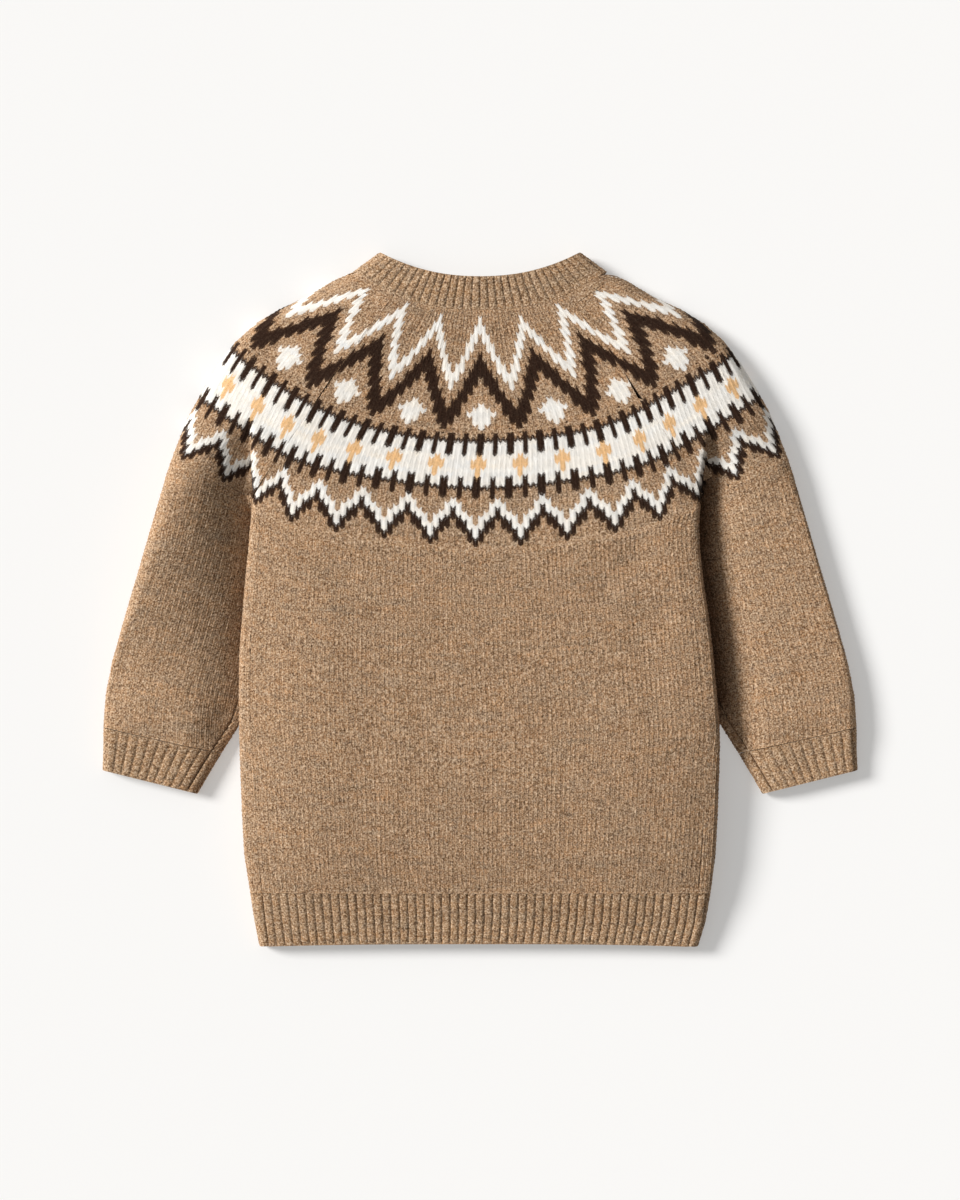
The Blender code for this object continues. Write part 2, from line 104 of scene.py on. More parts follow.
# Height of the upper sheet along the body's length.
BODY_TOP = dict(
    y=      (-204.8, -190.0, -172.6, -150.0, -110.0, -50.0, 60.5, 130.0, 205.3),
    plateau=(   7.6,    9.6,   12.6,   14.6,   16.2,  16.6, 15.8,  15.0,  13.6),
    dome=   (   1.6,    2.4,    3.8,    5.0,    6.0,   6.0,  5.4,   4.6,   3.4),
)
DOME_REACH = 55.0     # the pillow's slope ends this far from a fold
EDGE_SLOPE = 14.0     # the shoulder of a plain fold ends this far in
CLIMB_FROM, CLIMB_TO = 10.0, 34.0   # the lower sheet lifts over a tucked sleeve
# The body's side seam lies this far inside the fold, on the upper sheet, and so does
# the sleeve's underarm seam, section by section.
SIDE_SEAM = dict(
    y=    (-204.8, -172.6, -150.0, -120.0, -95.0, -76.0, 44.0, 52.0, 60.5),
    inset=(   4.9,    6.8,    7.9,    7.9,   7.3,   5.6,  4.6,  2.6,  0.6),
)
SLEEVE_SEAM = (5.2, 5.2, 5.2, 4.6, 4.2, 4.0, 4.0, 4.0, 4.0, 4.0, 4.2, 2.6, 0.6)
# Half the gap between panels at each raglan station: the cloth stands on edge at the
# underarm, where its full thickness has to pass.
RAGLAN_GAP = dict(back=(1.45, 0.45, 0.22) + (SEAM / 2,) * 8, front=(1.45, 1.3, 0.5, 0.22) + (SEAM / 2,) * 7)
WING = (0.12, 0.45, 1.0)


def smooth(q):
    q = np.clip(q, 0, 1)
    return q * q * (3 - 2 * q)


def ease(q):
    q = np.clip(q, 0, 1)
    return 1 - (1 - q) ** 2


def arc(q):
    q = np.clip(q, 0, 1)
    return np.sqrt(np.maximum(1 - (1 - q) ** 2, 0))


def read(table, column, at, key="y"):
    return np.interp(at, table[key], table[column])


def nearest(x, y, line):
    """Distance from each point to a polyline, and the place along it as a row number."""
    p = np.stack([np.ravel(x), np.ravel(y)], 1)[:, None]
    a, b = line[None, :-1], line[None, 1:]
    span = b - a
    t = np.clip(((p - a) * span).sum(2) / (span * span).sum(2), 0, 1)
    d = np.linalg.norm(p - a - t[..., None] * span, axis=2)
    k = d.argmin(1)
    pick = np.arange(len(k))
    shape = np.shape(x)
    return d[pick, k].reshape(shape), (k + t[pick, k]).reshape(shape)


def body_line(side):
    """Middle line of the body's side fold, hem to underarm. side is -1 or +1."""
    column = BODY_SIDE["left" if side < 0 else "right"]
    return np.array([(side * (x - HALF), y) for x, y in zip(column, BODY_SIDE["y"])])


def tucked(side, y):
    line = body_line(side)
    return side * (np.interp(y, line[:, 1], side * line[:, 0]) - np.interp(y, TUCK["y"], TUCK["depth"]))


def sleeve_lines(side):
    """Middle lines of a sleeve's outer and inner folds, cuff to underarm."""
    outer = np.array([(side * x, y) for x, y in zip(SLEEVE["outer_x"], SLEEVE["outer_y"])])
    inner = np.array([(side * x if x else tucked(side, y), y) for x, y in zip(SLEEVE["inner_x"], SLEEVE["inner_y"])])
    run = outer - inner
    run /= np.linalg.norm(run, axis=1)[:, None]
    free = np.array(SLEEVE["inner_x"]) > 0
    return outer - run * HALF, inner + run * HALF * free[:, None]


def shoulder_line(side):
    """The outer fold from the cuff over the shoulder to the top of the neckband."""
    outer, _ = sleeve_lines(side)
    rest = np.array([(side * x, y) for x, y in zip(RAGLAN["outer_x"], RAGLAN["outer_y"])])[1:]
    ahead = np.gradient(rest, axis=0)
    ahead /= np.linalg.norm(ahead, axis=1)[:, None]
    inward = np.stack([-ahead[:, 1], ahead[:, 0]], 1) * side
    peak = np.array([(side * (BAND_PEAK[0] - 0.7), BAND_PEAK[1] - 0.9)])
    return np.concatenate([outer, rest + inward * HALF, peak])


def fold_loss(d, high, low, r, slope, gentle):
    """How far a sheet at height high has dropped, d away from a fold at height low."""
    rest = high - low - r
    climb = np.where(gentle, smooth(d / slope), ease(d / slope))
    return (high - low) - r * arc(d / r) - rest * climb


class Form:
    """Heights of the upper and lower sheet over the plan."""

    def __init__(self):
        self.body = {s: body_line(s) for s in (-1, 1)}
        self.outer = {s: shoulder_line(s) for s in (-1, 1)}
        self.inner = {s: sleeve_lines(s)[1] for s in (-1, 1)}

    def outer_fold(self, side, x, y):
        d, k = nearest(x, y, self.outer[side])
        rows = len(SLEEVE["outer_height"])
        height = np.interp(k, list(range(rows)) + [rows + 9, rows + 11], list(SLEEVE["outer_height"]) + [7.4, 7.0])
        return d, height, height - REST, k

    def body_sheets(self, x, y):
        high = read(BODY_TOP, "plateau", y)
        dome = read(BODY_TOP, "dome", y)
        swell = np.ones_like(x)
        folds = []
        for side in (-1, 1):
            d, k = nearest(x, y, self.body[side])
            rows = np.arange(len(BODY_SIDE["y"]))
            folds.append((d, np.interp(k, rows, BODY_SIDE["height"]), np.interp(k, rows, BODY_SIDE["r"])))
            swell = swell * ease(d / DOME_REACH)
            d, height, r, k = self.outer_fold(side, x, y)
            folds.append((d, height, r))
            swell = swell * ease(d / DOME_REACH)
        high = high + dome * swell
        top, bottom = high.copy(), np.full_like(high, REST)
        for d, height, r in folds:
            top -= fold_loss(d, high, height, r, EDGE_SLOPE, False)
            lift = np.maximum(height - REST - r, 0)
            climb = smooth((d - CLIMB_FROM) / (CLIMB_TO - CLIMB_FROM))
            bottom += (height - REST) - r * arc(d / r) - lift * climb
        return top, bottom

    def sleeve_sheets(self, side, x, y):
        rows = np.arange(len(SLEEVE["outer_x"]))
        d1, height1, r1, k1 = self.outer_fold(side, x, y)
        d2, k2 = nearest(x, y, self.inner[side])
        # A point's place along the sleeve, from both folds, so that the plateau runs evenly across.
        k = np.where(k1 > rows[-1], rows[-1] + 0.0 * k1, (k1 * d2 + k2 * d1) / (d1 + d2 + 1e-9))
        high = np.interp(k, rows, SLEEVE["plateau"])
        dome = np.interp(k, rows, SLEEVE["dome"])
        # Above the underarm the sheet is one with the body's.
        join = smooth((k1 - rows[-1] + 1.5) / 3.0)
        high = high * (1 - join) + read(BODY_TOP, "plateau", y) * join
        dome = dome * (1 - join) + read(BODY_TOP, "dome", y) * join
        d3, _ = nearest(x, y, self.body[side])
        swell = ease(d1 / DOME_REACH) * ease(d2 / (DOME_REACH - 15.0 * (1 - join)))
        high = high + dome * swell
        height2 = np.interp(k2, rows, SLEEVE["inner_height"])
        r2 = np.interp(k2, rows, SLEEVE["inner_r"])
        slope2 = np.interp(k2, rows, SLEEVE["inner_slope"])
        blend = np.clip((slope2 - 14.0) / 14.0, 0, 1)
        sharp = fold_loss(d2, high, height2, r2, slope2, False)
        soft = fold_loss(d2, high, height2, r2, slope2, True)
        top = high - fold_loss(d1, high, height1, r1, EDGE_SLOPE, False) - sharp * (1 - blend) - soft * blend
        lift = np.maximum(height2 - REST - r2, 0)
        climb = smooth((d2 - CLIMB_FROM) / (CLIMB_TO - CLIMB_FROM))
        bottom = REST + (height1 - REST) - r1 * arc(d1 / r1) + (height2 - REST) - r2 * arc(d2 / r2) - lift * climb
        return top, bottom


FORM = Form()


def spread(count):
    """Places from 0 to 1, close together at both ends, where a fold turns."""
    return 0.5 - 0.5 * np.cos(np.pi * np.linspace(0, 1, count + 1))


def raglan(side, which):
    """The seam's stations from the underarm to the neck."""
    line = np.array([(side * x, y) for x, y in zip(RAGLAN[which + "_x"], RAGLAN[which + "_y"])])
    line[0] = FORM.body[side][-1]
    return line


def neck_curve(x, spec):
    end, high, low, power = spec
    return high - (high - low) * (1 - np.abs(np.clip(x / end, -1, 1)) ** power)



# ---------------------------------------------------------------- stitches

# A repeat across, as columns: place in the repeat, how far its stitch borders are raised
# (in rows), and its points in each row: (place in the row, depth below the outer face, mm).
PLAIN = (
    (0.00, 0.80, ((0.0, 0.42),)),
    (0.25, 0.50, ((0.0, 0.42), (0.5, 0.00))),
    (0.50, 0.20, ((0.0, 0.26),)),
    (0.75, 0.50, ((0.0, 0.42), (0.5, 0.00))),
)
# One rib of one-by-one rib: a knit wale that stands up, and a purl wale sunk between.
RIB = (
    (0.00, 0.80, ((0.0, 0.80),)),
    (0.11, 0.80, ((0.0, 0.36), (0.5, 0.24))),
    (0.30, 0.50, ((0.0, 0.20), (0.5, 0.00))),
    (0.50, 0.20, ((0.0, 0.16),)),
    (0.70, 0.50, ((0.0, 0.20), (0.5, 0.00))),
    (0.89, 0.80, ((0.0, 0.36), (0.5, 0.24))),
)
LINING = ((0.0, 0.0, ((0.0, 0.0),)),)
# The sewn seams are closed up to a hair, which the CAD solids may not be.
SEAM = 0.08
RAGLAN_GAP = dict(back=(0.6, 0.16, 0.06) + (SEAM / 2,) * 8, front=(1.3, 1.1, 0.4, 0.2) + (SEAM / 2,) * 7)
LEAST = 0.14          # rows: a column's points stay this far from its ends


class Shell:
    """One piece being made: mid-surface points, what lies on them, and faces by sheet."""

    def __init__(self, name, seed):
        self.name = name
        self.points, self.depth, self.uv = [], [], []
        self.faces, self.tints = [], []
        self.count = 0
        self.chance = np.random.default_rng(seed)

    def add(self, points, depth, uv):
        ids = np.arange(self.count, self.count + len(points))
        self.points.append(points)
        self.depth.append(depth)
        self.uv.append(uv)
        self.count += len(points)
        return ids

    def close(self):
        self.points = np.concatenate(self.points)
        self.depth = np.concatenate(self.depth)
        self.uv = np.concatenate(self.uv)


def columns_of(profile, first, last, repeat=1):
    """Columns from stitch number first to last, both borders of a stitch."""
    out = []
    for n in range(int(first), int(last)):
        for place, lift, marks in profile:
            out.append((n + place, lift, marks))
    place, lift, marks = profile[0]
    out.append((float(last), lift, marks))
    return out


def merge(a, wa, b, wb, flip):
    """Triangles between two columns of points, taken in the order of their stitch borders."""
    w = np.concatenate([wa[1:], wb[1:]])
    order = np.argsort(w, kind="stable")
    on_a = order < len(wa) - 1
    after_a = np.cumsum(on_a)
    after_b = np.cumsum(~on_a)
    i, j = after_a - on_a, after_b - ~on_a
    third = np.where(on_a, a[np.minimum(after_a, len(a) - 1)], b[np.minimum(after_b, len(b) - 1)])
    wi, wj = wa[i], wb[j]
    middle = (wi + wj + w[order]) / 3
    tri = np.stack([a[i], b[j], third], 1)
    return (tri[:, ::-1] if flip else tri), middle


def lay(shell, place, columns, low, high, chart, flip=False, step=1.0, ring=False):
    """Lays a patch. place(u, v) gives mid-surface points. low and high are each column's
    ends in rows. Returns the ids of its four edges: left, right, bottom, top."""
    us, vs, ws, ds, sizes = [], [], [], [], []
    kept, ends = [], []
    for (u, lift, marks), lo, hi in zip(columns, low, high):
        if not np.isfinite(lo) or hi - lo < 0.3:
            continue
        ends.append((lo, hi))
        n = np.arange(math.floor((lo - lift) / step) - 1, math.ceil((hi - lift) / step) + 1)
        w = np.concatenate([(n + dw) for dw, _ in marks]) * step
        d = np.concatenate([np.full(len(n), depth) for _, depth in marks])
        order = np.argsort(w)
        w, d = w[order], d[order]
        v = w + lift
        keep = (v > lo + LEAST * step) & (v < hi - LEAST * step)
        edge = np.mean([depth for _, depth in marks])
        w = np.concatenate([[lo - lift], w[keep], [hi - lift]])
        d = np.concatenate([[edge], d[keep], [edge]])
        us.append(np.full(len(w), u))
        vs.append(w + lift)
        ws.append(w)
        ds.append(d)
        sizes.append(len(w))
        kept.append(u)
    u, v, d = np.concatenate(us), np.concatenate(vs), np.concatenate(ds)
    ids = shell.add(place(u, v), d, np.stack([u, v], 1))
    parts = np.split(ids, np.cumsum(sizes)[:-1])
    pairs = list(zip(range(len(parts) - 1), range(1, len(parts))))
    if ring:
        pairs.append((len(parts) - 1, 0))
    for p, q in pairs:
        if q and kept[q] - kept[p] > 6:
            continue
        tri, middle = merge(parts[p], ws[p], parts[q], ws[q], flip)
        across = (kept[p] + (kept[q] if q else kept[p] + 1e-3)) / 2
        shell.faces.append(tri)
        shell.tints.append(chart(np.full(len(tri), across), middle))
    # The four edges. Bottom and top hold only the columns that reach the patch's own ends.
    bottom = np.array([part[0] for part, lo in zip(parts, [x[0] for x in ends]) if lo < np.nanmin(low) + 1e-6])
    top = np.array([part[-1] for part, hi in zip(parts, [x[1] for x in ends]) if hi > np.nanmax(high) - 1e-6])
    return parts[0], parts[-1], bottom, top


def sew(points, a, b, flip=False, ring=False):
    """Triangles between two lines of points that run side by side, a below b."""
    i = j = 0
    na, nb = len(a), len(b)
    if ring:
        a, b = np.append(a, a[0]), np.append(b, b[0])
        na, nb = na + 1, nb + 1
    tri = []
    pa, pb = points[a], points[b]
    while i < na - 1 or j < nb - 1:
        if j == nb - 1:
            step_a = True
        elif i == na - 1:
            step_a = False
        else:
            step_a = ((pa[i + 1] - pb[j]) ** 2).sum() <= ((pb[j + 1] - pa[i]) ** 2).sum()
        if step_a:
            tri.append((a[i], a[i + 1], b[j]))
            i += 1
        else:
            tri.append((a[i], b[j + 1], b[j]))
            j += 1
    tri = np.array(tri)
    return tri[:, ::-1] if flip else tri


def rims(faces):
    """The open edges of a mesh as closed loops of point ids, in the faces' own direction."""
    edges = np.concatenate([faces[:, [0, 1]], faces[:, [1, 2]], faces[:, [2, 0]]])
    key = np.sort(edges, 1)
    _, first, counts = np.unique(key, axis=0, return_index=True, return_counts=True)
    free = edges[first[counts == 1]]
    ahead = {}
    for x, y in free.tolist():
        ahead.setdefault(x, []).append(y)
    loops = []
    while ahead:
        start = next(iter(ahead))
        loop, at = [start], start
        while True:
            nexts = ahead.get(at)
            if not nexts:
                break
            new = nexts.pop()
            if not nexts:
                del ahead[at]
            if new == start:
                break
            loop.append(new)
            at = new
        loops.append(np.array(loop))
    return [x for x in loops if len(x) > 3]


def normals_of(points, faces):
    a, b, c = (points[faces[:, n]] for n in range(3))
    across = np.cross(b - a, c - a)
    out = np.zeros_like(points)
    for n in range(3):
        for axis in range(3):
            out[:, axis] += np.bincount(faces[:, n], across[:, axis], len(points))
    size = np.linalg.norm(out, axis=1)
    return out / np.maximum(size, 1e-9)[:, None]


def smoothed(values, faces, rounds):
    """Averages a vector over neighbouring points."""
    edges = np.concatenate([faces[:, [0, 1]], faces[:, [1, 2]], faces[:, [2, 0]]])
    edges = np.concatenate([edges, edges[:, ::-1]])
    share = np.bincount(edges[:, 0], minlength=len(values)) + 1.0
    for _ in range(rounds):
        total = values.copy()
        for axis in range(values.shape[1]):
            total[:, axis] += np.bincount(edges[:, 0], values[edges[:, 1], axis], len(values))
        values = total / share[:, None]
    return values


def beside(loop, other, points):
    """Starts both loops at their highest place on the plan, so that they run side by side."""
    loop = np.roll(loop, -points[loop, 1].argmax())
    k = ((points[other] - points[loop[0]]) ** 2).sum(1).argmin()
    return loop, np.roll(other, -k)


def finish_shell(shell, lining, drape, colour_inside, material_name, hem=None, full=0.62, shade=None):
    """Drapes both sheets, moves the outer one out by half the wall less its stitch relief and
    the lining in by half the wall, joins them round every open edge, and makes the object."""
    shell.close()
    lining.close()
    outer = np.concatenate(shell.faces)
    inner = np.concatenate(lining.faces)
    for part, faces in ((shell, outer), (lining, inner)):
        part.points[:, 2] += drape(part.points, smoothed(normals_of(part.points, faces), faces, 3))
    n_out = smoothed(normals_of(shell.points, outer), outer, 3)
    n_out /= np.linalg.norm(n_out, axis=1)[:, None] + 1e-9
    n_in = normals_of(lining.points, inner)
    loops = rims(outer)
    a, b, c = (shell.points[outer[:, n]] for n in range(3))
    print(shell.name, "middle area", round(float(np.linalg.norm(np.cross(b - a, c - a), axis=1).sum() / 2e6), 5), "open rims", len(loops), [len(x) for x in loops])
    depth = shell.depth.copy()
    depth = depth + shell.chance.normal(0, 0.08, len(depth))
    # The pale yarns are felted, so that their stitches stand out less.
    pale = (np.concatenate(shell.tints)[:, 0] > 0.7).astype(float)
    at = np.bincount(outer.ravel(), np.repeat(pale, 3), len(depth)) / np.maximum(np.bincount(outer.ravel(), minlength=len(depth)), 1)
    depth = depth * (1 - 0.5 * at)
    # Knitted-on edges lie flush, sewn ones roll in.
    for loop in loops:
        depth[loop] = hem(shell.points[loop], shell.uv[loop])
    # How far down between the stitches each point lies, which sets the painted shade there: the deeper, the darker.
    deep = np.clip(depth / full, 0, 1)
    # Painted shade is added where a piece asks for it, and an even painted shade is put on the lining.
    if shade:
        deep = deep + shade(shell.points)
    deep = np.concatenate([deep, np.full(len(lining.points), 0.3)])
    out_points = shell.points + n_out * (HALF - depth)[:, None]
    in_points = lining.points - n_in * HALF
    points = np.concatenate([out_points, in_points])
    points[:, 2] = np.maximum(points[:, 2], 0.05)
    inner = inner[:, ::-1] + len(out_points)
    faces = [outer, inner]
    tints = [np.concatenate(shell.tints), np.tile(colour_inside, (len(inner), 1))]
    inner_loops = [loop[::-1] for loop in rims(inner)]
    for loop in loops:
        near = [((points[loop[:: max(len(loop) // 40, 1)], None] - points[other][None]) ** 2).sum(2).min(1).mean() for other in inner_loops]
        other = inner_loops[int(np.argmin(near))]
        loop, other = beside(loop, other, points)
        # The faces of the outer sheet run along the loop, so the band's run against it.
        band = sew(points, loop, other, flip=True, ring=True)
        faces.append(band)
        tints.append(np.tile(colour_inside, (len(band), 1)))
    faces = np.concatenate(faces)
    tints = np.concatenate(tints)
    return build_mesh(shell.name, points, faces, tints, deep, len(outer) + len(inner), material_name)


def build_mesh(name, points, faces, tints, deep, sheets, material):
    # Drops points that no face uses.
    used = np.zeros(len(points), bool)
    used[faces.ravel()] = True
    new = np.cumsum(used) - 1
    points, deep, faces = points[used], deep[used], new[faces]
    mesh = bpy.data.meshes.new(name)
    mesh.vertices.add(len(points))
    mesh.vertices.foreach_set("co", (points * MM).astype(np.float32).ravel())
    mesh.loops.add(len(faces) * 3)
    mesh.loops.foreach_set("vertex_index", faces.astype(np.int32).ravel())
    mesh.polygons.add(len(faces))
    mesh.polygons.foreach_set("loop_start", np.arange(0, len(faces) * 3, 3, dtype=np.int32))
    mesh.update(calc_edges=True)
    mesh.validate()
    mesh.shade_smooth()
    # The cloth's cut edges are crisp: an edge between a sheet and its rim is a sharp one.
    count = len(points)
    def keys(tri):
        pairs = np.sort(np.concatenate([tri[:, [0, 1]], tri[:, [1, 2]], tri[:, [2, 0]]]).astype(np.int64), 1)
        return pairs[:, 0] * count + pairs[:, 1]
    sharp = np.intersect1d(keys(faces[:sheets]), keys(faces[sheets:]))
    ends = np.empty(len(mesh.edges) * 2, np.int32)
    mesh.edges.foreach_get("vertices", ends)
    ends = np.sort(ends.reshape(-1, 2).astype(np.int64), 1)
    layer = mesh.attributes.new("sharp_edge", "BOOLEAN", "EDGE")
    layer.data.foreach_set("value", np.isin(ends[:, 0] * count + ends[:, 1], sharp))
    layer = mesh.attributes.new("yarn", "FLOAT_COLOR", "FACE")
    layer.data.foreach_set("color", tints.astype(np.float32).ravel())
    # The same colours averaged at the points, for the ragged edges between yarns.
    soft = np.zeros((len(points), 4))
    for n in range(3):
        for axis in range(4):
            soft[:, axis] += np.bincount(faces[:, n], tints[:, axis], len(points))
    soft /= np.bincount(faces.ravel(), minlength=len(points))[:, None]
    layer = mesh.attributes.new("yarn_soft", "FLOAT_COLOR", "POINT")
    layer.data.foreach_set("color", soft.astype(np.float32).ravel())
    # The painted shade at each point, which the material reads to darken the colour.
    layer = mesh.attributes.new("deep", "FLOAT", "POINT")
    layer.data.foreach_set("value", deep.astype(np.float32))
    item = bpy.data.objects.new(name, mesh)
    bpy.context.scene.collection.objects.link(item)
    mesh.materials.append(material)
    return item


# ---------------------------------------------------------------- where the knitting lies

# Pixels of the photo's 960 x 1200 frame to millimetres on the surface.
PX = 0.59


def plan(px, py):
    return (np.asarray(px) - 480.0) * PX, (599.5 - np.asarray(py)) * PX


# The yoke's motifs are numbered from the middle of the back (s) and its rows from the neck
# seam down (r). Where they lie, as the cloth is drawn round the yoke: row, motif, x, y (px).
LAY = dict(
    r=(1.5,) * 7 + (9.8,) * 7 + (18.2,) * 8 + (24.4,) * 7 + (27.7,) * 8 + (35.9,) * 15 + (55.0,) * 19,
    s=(-3, -2, -1, 0, 1, 2, 3) * 2 + (-3.5, -2.5, -1.5, -0.5, 0.5, 1.5, 2.5, 3.5) + (-3, -2, -1, 0, 1, 2, 3)
    + (-3.5, -2.5, -1.5, -0.5, 0.5, 1.5, 2.5, 3.5)
    + (-3.5, -3, -2.5, -2, -1.5, -1, -0.5, 0, 0.5, 1, 1.5, 2, 2.5, 3, 3.5)
    + (-4, -3.75, -3.5, -3, -2.5, -2, -1.5, -1, -0.5, 0, 0.5, 1, 1.5, 2, 2.5, 3, 3.5, 3.75, 4),
    x=(372, 409.5, 441.6, 480, 520, 556, 593) + (342.5, 384, 431, 480, 531, 577, 621)
    + (288, 337, 392, 451, 512, 574, 629, 677) + (289, 346, 411, 480.5, 552, 618, 675)
    + (251, 309, 373, 444, 521, 595, 655, 715)
    + (228, 260, 288, 318, 354, 394, 436, 478, 520, 561, 603, 641, 667, 699, 731)
    + (140, 160, 180.5, 225, 255.5, 290, 338.5, 385, 430, 476, 520, 567, 613, 662, 698, 738, 784, 804, 824),
    y=(288, 304, 316, 318, 318, 305, 291) + (310, 337, 350.5, 355, 349, 334.5, 311.5)
    + (318, 353, 379, 389, 391, 377, 355, 317) + (360, 393, 411.5, 417, 410, 391, 359)
    + (350.5, 388, 417.5, 431, 430, 420, 388, 354)
    + (388, 408, 430, 440, 452, 459, 465, 467, 466, 460, 453, 441, 427, 408, 388)
    + (440, 450.5, 460.8, 483.3, 506, 526, 533, 541, 546, 549, 548, 543, 534, 525, 503, 481.8, 458.5, 448.5, 438),
)
ROWS_A, ROWS = 28, 55       # rows of the upper, 12-stitch pattern, and of the whole yoke
STS_A, STS_B = 12, 16       # stitches in a motif of the upper and the lower pattern
FOLD_R = 6.8                # radius of the shoulder's fold
FOLD_D = np.linspace(0, 16, 161)
_rise = FOLD_R * arc(FOLD_D / FOLD_R) + 3.0 * ease(FOLD_D / EDGE_SLOPE)
_run = np.concatenate([[0], np.cumsum(np.hypot(np.diff(FOLD_D), np.diff(_rise)))])
FOLD_C = _run[-1] - FOLD_D[-1]        # how much longer the cloth is than it looks, at a fold
FOLD_E = _run - FOLD_C                # place across, flattened, for each distance in FOLD_D


def foot(side, x, y):
    """The nearest place on the shoulder's fold: distance (inside is positive), foot, inward normal."""
    line = FORM.outer[side]
    d, k = nearest(x, y, line)
    ahead = np.gradient(line, axis=0)
    ahead /= np.linalg.norm(ahead, axis=1)[:, None]
    inward = np.stack([-ahead[:, 1], ahead[:, 0]], 1) * side
    rows = np.arange(len(line))
    fx, fy = np.interp(k, rows, line[:, 0]), np.interp(k, rows, line[:, 1])
    nx, ny = np.interp(k, rows, inward[:, 0]), np.interp(k, rows, inward[:, 1])
    size = np.hypot(nx, ny)
    nx, ny = nx / size, ny / size
    inside = np.sign((x - fx) * nx + (y - fy) * ny)
    return d * inside, fx, fy, nx, ny


def unfold(x, y):
    """Plan to the yoke's flattened plan, in which the cloth runs on past the shoulder's fold."""
    x, y = np.array(x, float), np.array(y, float)
    for side in (-1, 1):
        d, fx, fy, nx, ny = foot(side, x, y)
        near = (np.abs(d) < 15.9) & (x * side > 0)
        e = np.interp(np.maximum(d, 0), FOLD_D, FOLD_E)
        x, y = np.where(near, fx + nx * e, x), np.where(near, fy + ny * e, y)
    return x, y


def fit_lay():
    r, s = np.array(LAY["r"], float), np.array(LAY["s"], float)
    x, y = unfold(*plan(LAY["x"], LAY["y"]))
    base = lay_terms(s, r)
    ax, *_ = np.linalg.lstsq(base[0], x, rcond=None)
    ay, *_ = np.linalg.lstsq(base[1], y + r * PX * 4.35, rcond=None)
    rest = np.stack([x - base[0] @ ax, y + r * PX * 4.35 - base[1] @ ay], 1)
    near = np.exp(-(((s[:, None] - s) / 0.75) ** 2 + ((r[:, None] - r) / 9.0) ** 2) / 2)
    pull = np.linalg.solve(near + 0.12 * np.eye(len(s)), rest)
    return ax, ay, s, r, pull


def lay_terms(s, r):
    t = (r - 27.5) / 27.5
    across = [s**p * t**q for p in (1, 3) for q in range(4)] + [np.ones_like(s), t] + [s**2, s**2 * t]
    down = [s**p * t**q for p in (2, 4) for q in range(4)] + [s, s * t, np.ones_like(s)]
    return np.stack(across, 1), np.stack(down, 1)


AX, AY, LAY_S, LAY_R, PULL = fit_lay()


def drawn(s, r):
    """Flattened plan of motif place s in row r. Past the first row the columns run straight on."""
    s, r = np.broadcast_arrays(np.asarray(s, float), np.asarray(r, float))
    x, y = laid(s, np.maximum(r, 0.0))
    if (r < 0).any():
        x1, y1 = laid(s, np.zeros_like(s))
        x2, y2 = laid(s, np.full_like(s, 5.0))
        past = np.maximum(-r, 0) / 5.0
        x, y = x + (x1 - x2) * past, y + (y1 - y2) * past
    return x, y


def laid(s, r):
    a, b = lay_terms(s, r)
    near = np.exp(-(((s[:, None] - LAY_S) / 0.75) ** 2 + ((r[:, None] - LAY_R) / 9.0) ** 2) / 2)
    more = near @ PULL
    return a @ AX + more[:, 0], b @ AY - r * PX * 4.35 + more[:, 1]


def on_yoke(s, r, sleeve=0):
    """Mid-surface points of the yoke. sleeve is the side, or 0 for the back."""
    x, y = drawn(s, r)
    if not sleeve:
        return np.stack([x, y, FORM.body_sheets(x, y)[0]], 1)
    e, fx, fy, nx, ny = foot(sleeve, x, y)
    far = e > FOLD_D[-1] - 0.1
    d = np.interp(e, FOLD_E, FOLD_D)
    past = np.maximum(FOLD_E[0] - e, 0)
    under = e < FOLD_E[0]
    d = np.where(under, np.where(past < FOLD_R * np.pi / 2, FOLD_R * np.sin(np.minimum(past / FOLD_R, np.pi / 2)), FOLD_R + past - FOLD_R * np.pi / 2), d)
    px = np.where(far, x, fx + nx * d)
    py = np.where(far, y, fy + ny * d)
    top, bottom = FORM.sleeve_sheets(sleeve, px, py)
    return np.stack([px, py, np.where(under, bottom, top)], 1)


def seam_x(side, which, y, gap=True):
    """Place of the raglan seam across, at height y, and half its gap."""
    line = raglan(side, which)
    half = RAGLAN_GAP[which]
    at = np.interp(y, line[:, 1], line[:, 0])
    return at, np.interp(y, line[:, 1], half)


def back_inside(x, y):
    left, gl = seam_x(-1, "back", y)
    right, gr = seam_x(1, "back", y)
    top = neck_curve(x, BACK_NECK) - SEAM / 2
    return np.minimum(np.minimum(x - left - gl, right - gr - x), top - y)


def sleeve_inside(side, s, r, limit):
    x, y = drawn(s, r)
    e, fx, fy, nx, ny = foot(side, x, y)
    seam, gap = seam_x(side, "back", y)
    # The neck seam is a straight line on the plan, not on the flattened fold.
    d = np.interp(e, FOLD_E, FOLD_D)
    far = e > FOLD_D[-1] - 0.1
    px, py = np.where(far, x, fx + nx * d), np.where(far, y, fy + ny * d)
    a, b = BACK_NECK[:2], NECK_FOLD
    slope = (b[1] - a[1]) / (b[0] - a[0])
    top = a[1] + (side * px - a[0]) * slope - SEAM / 2
    return np.minimum(np.minimum((x - seam) * side - gap, e + limit), top - py)


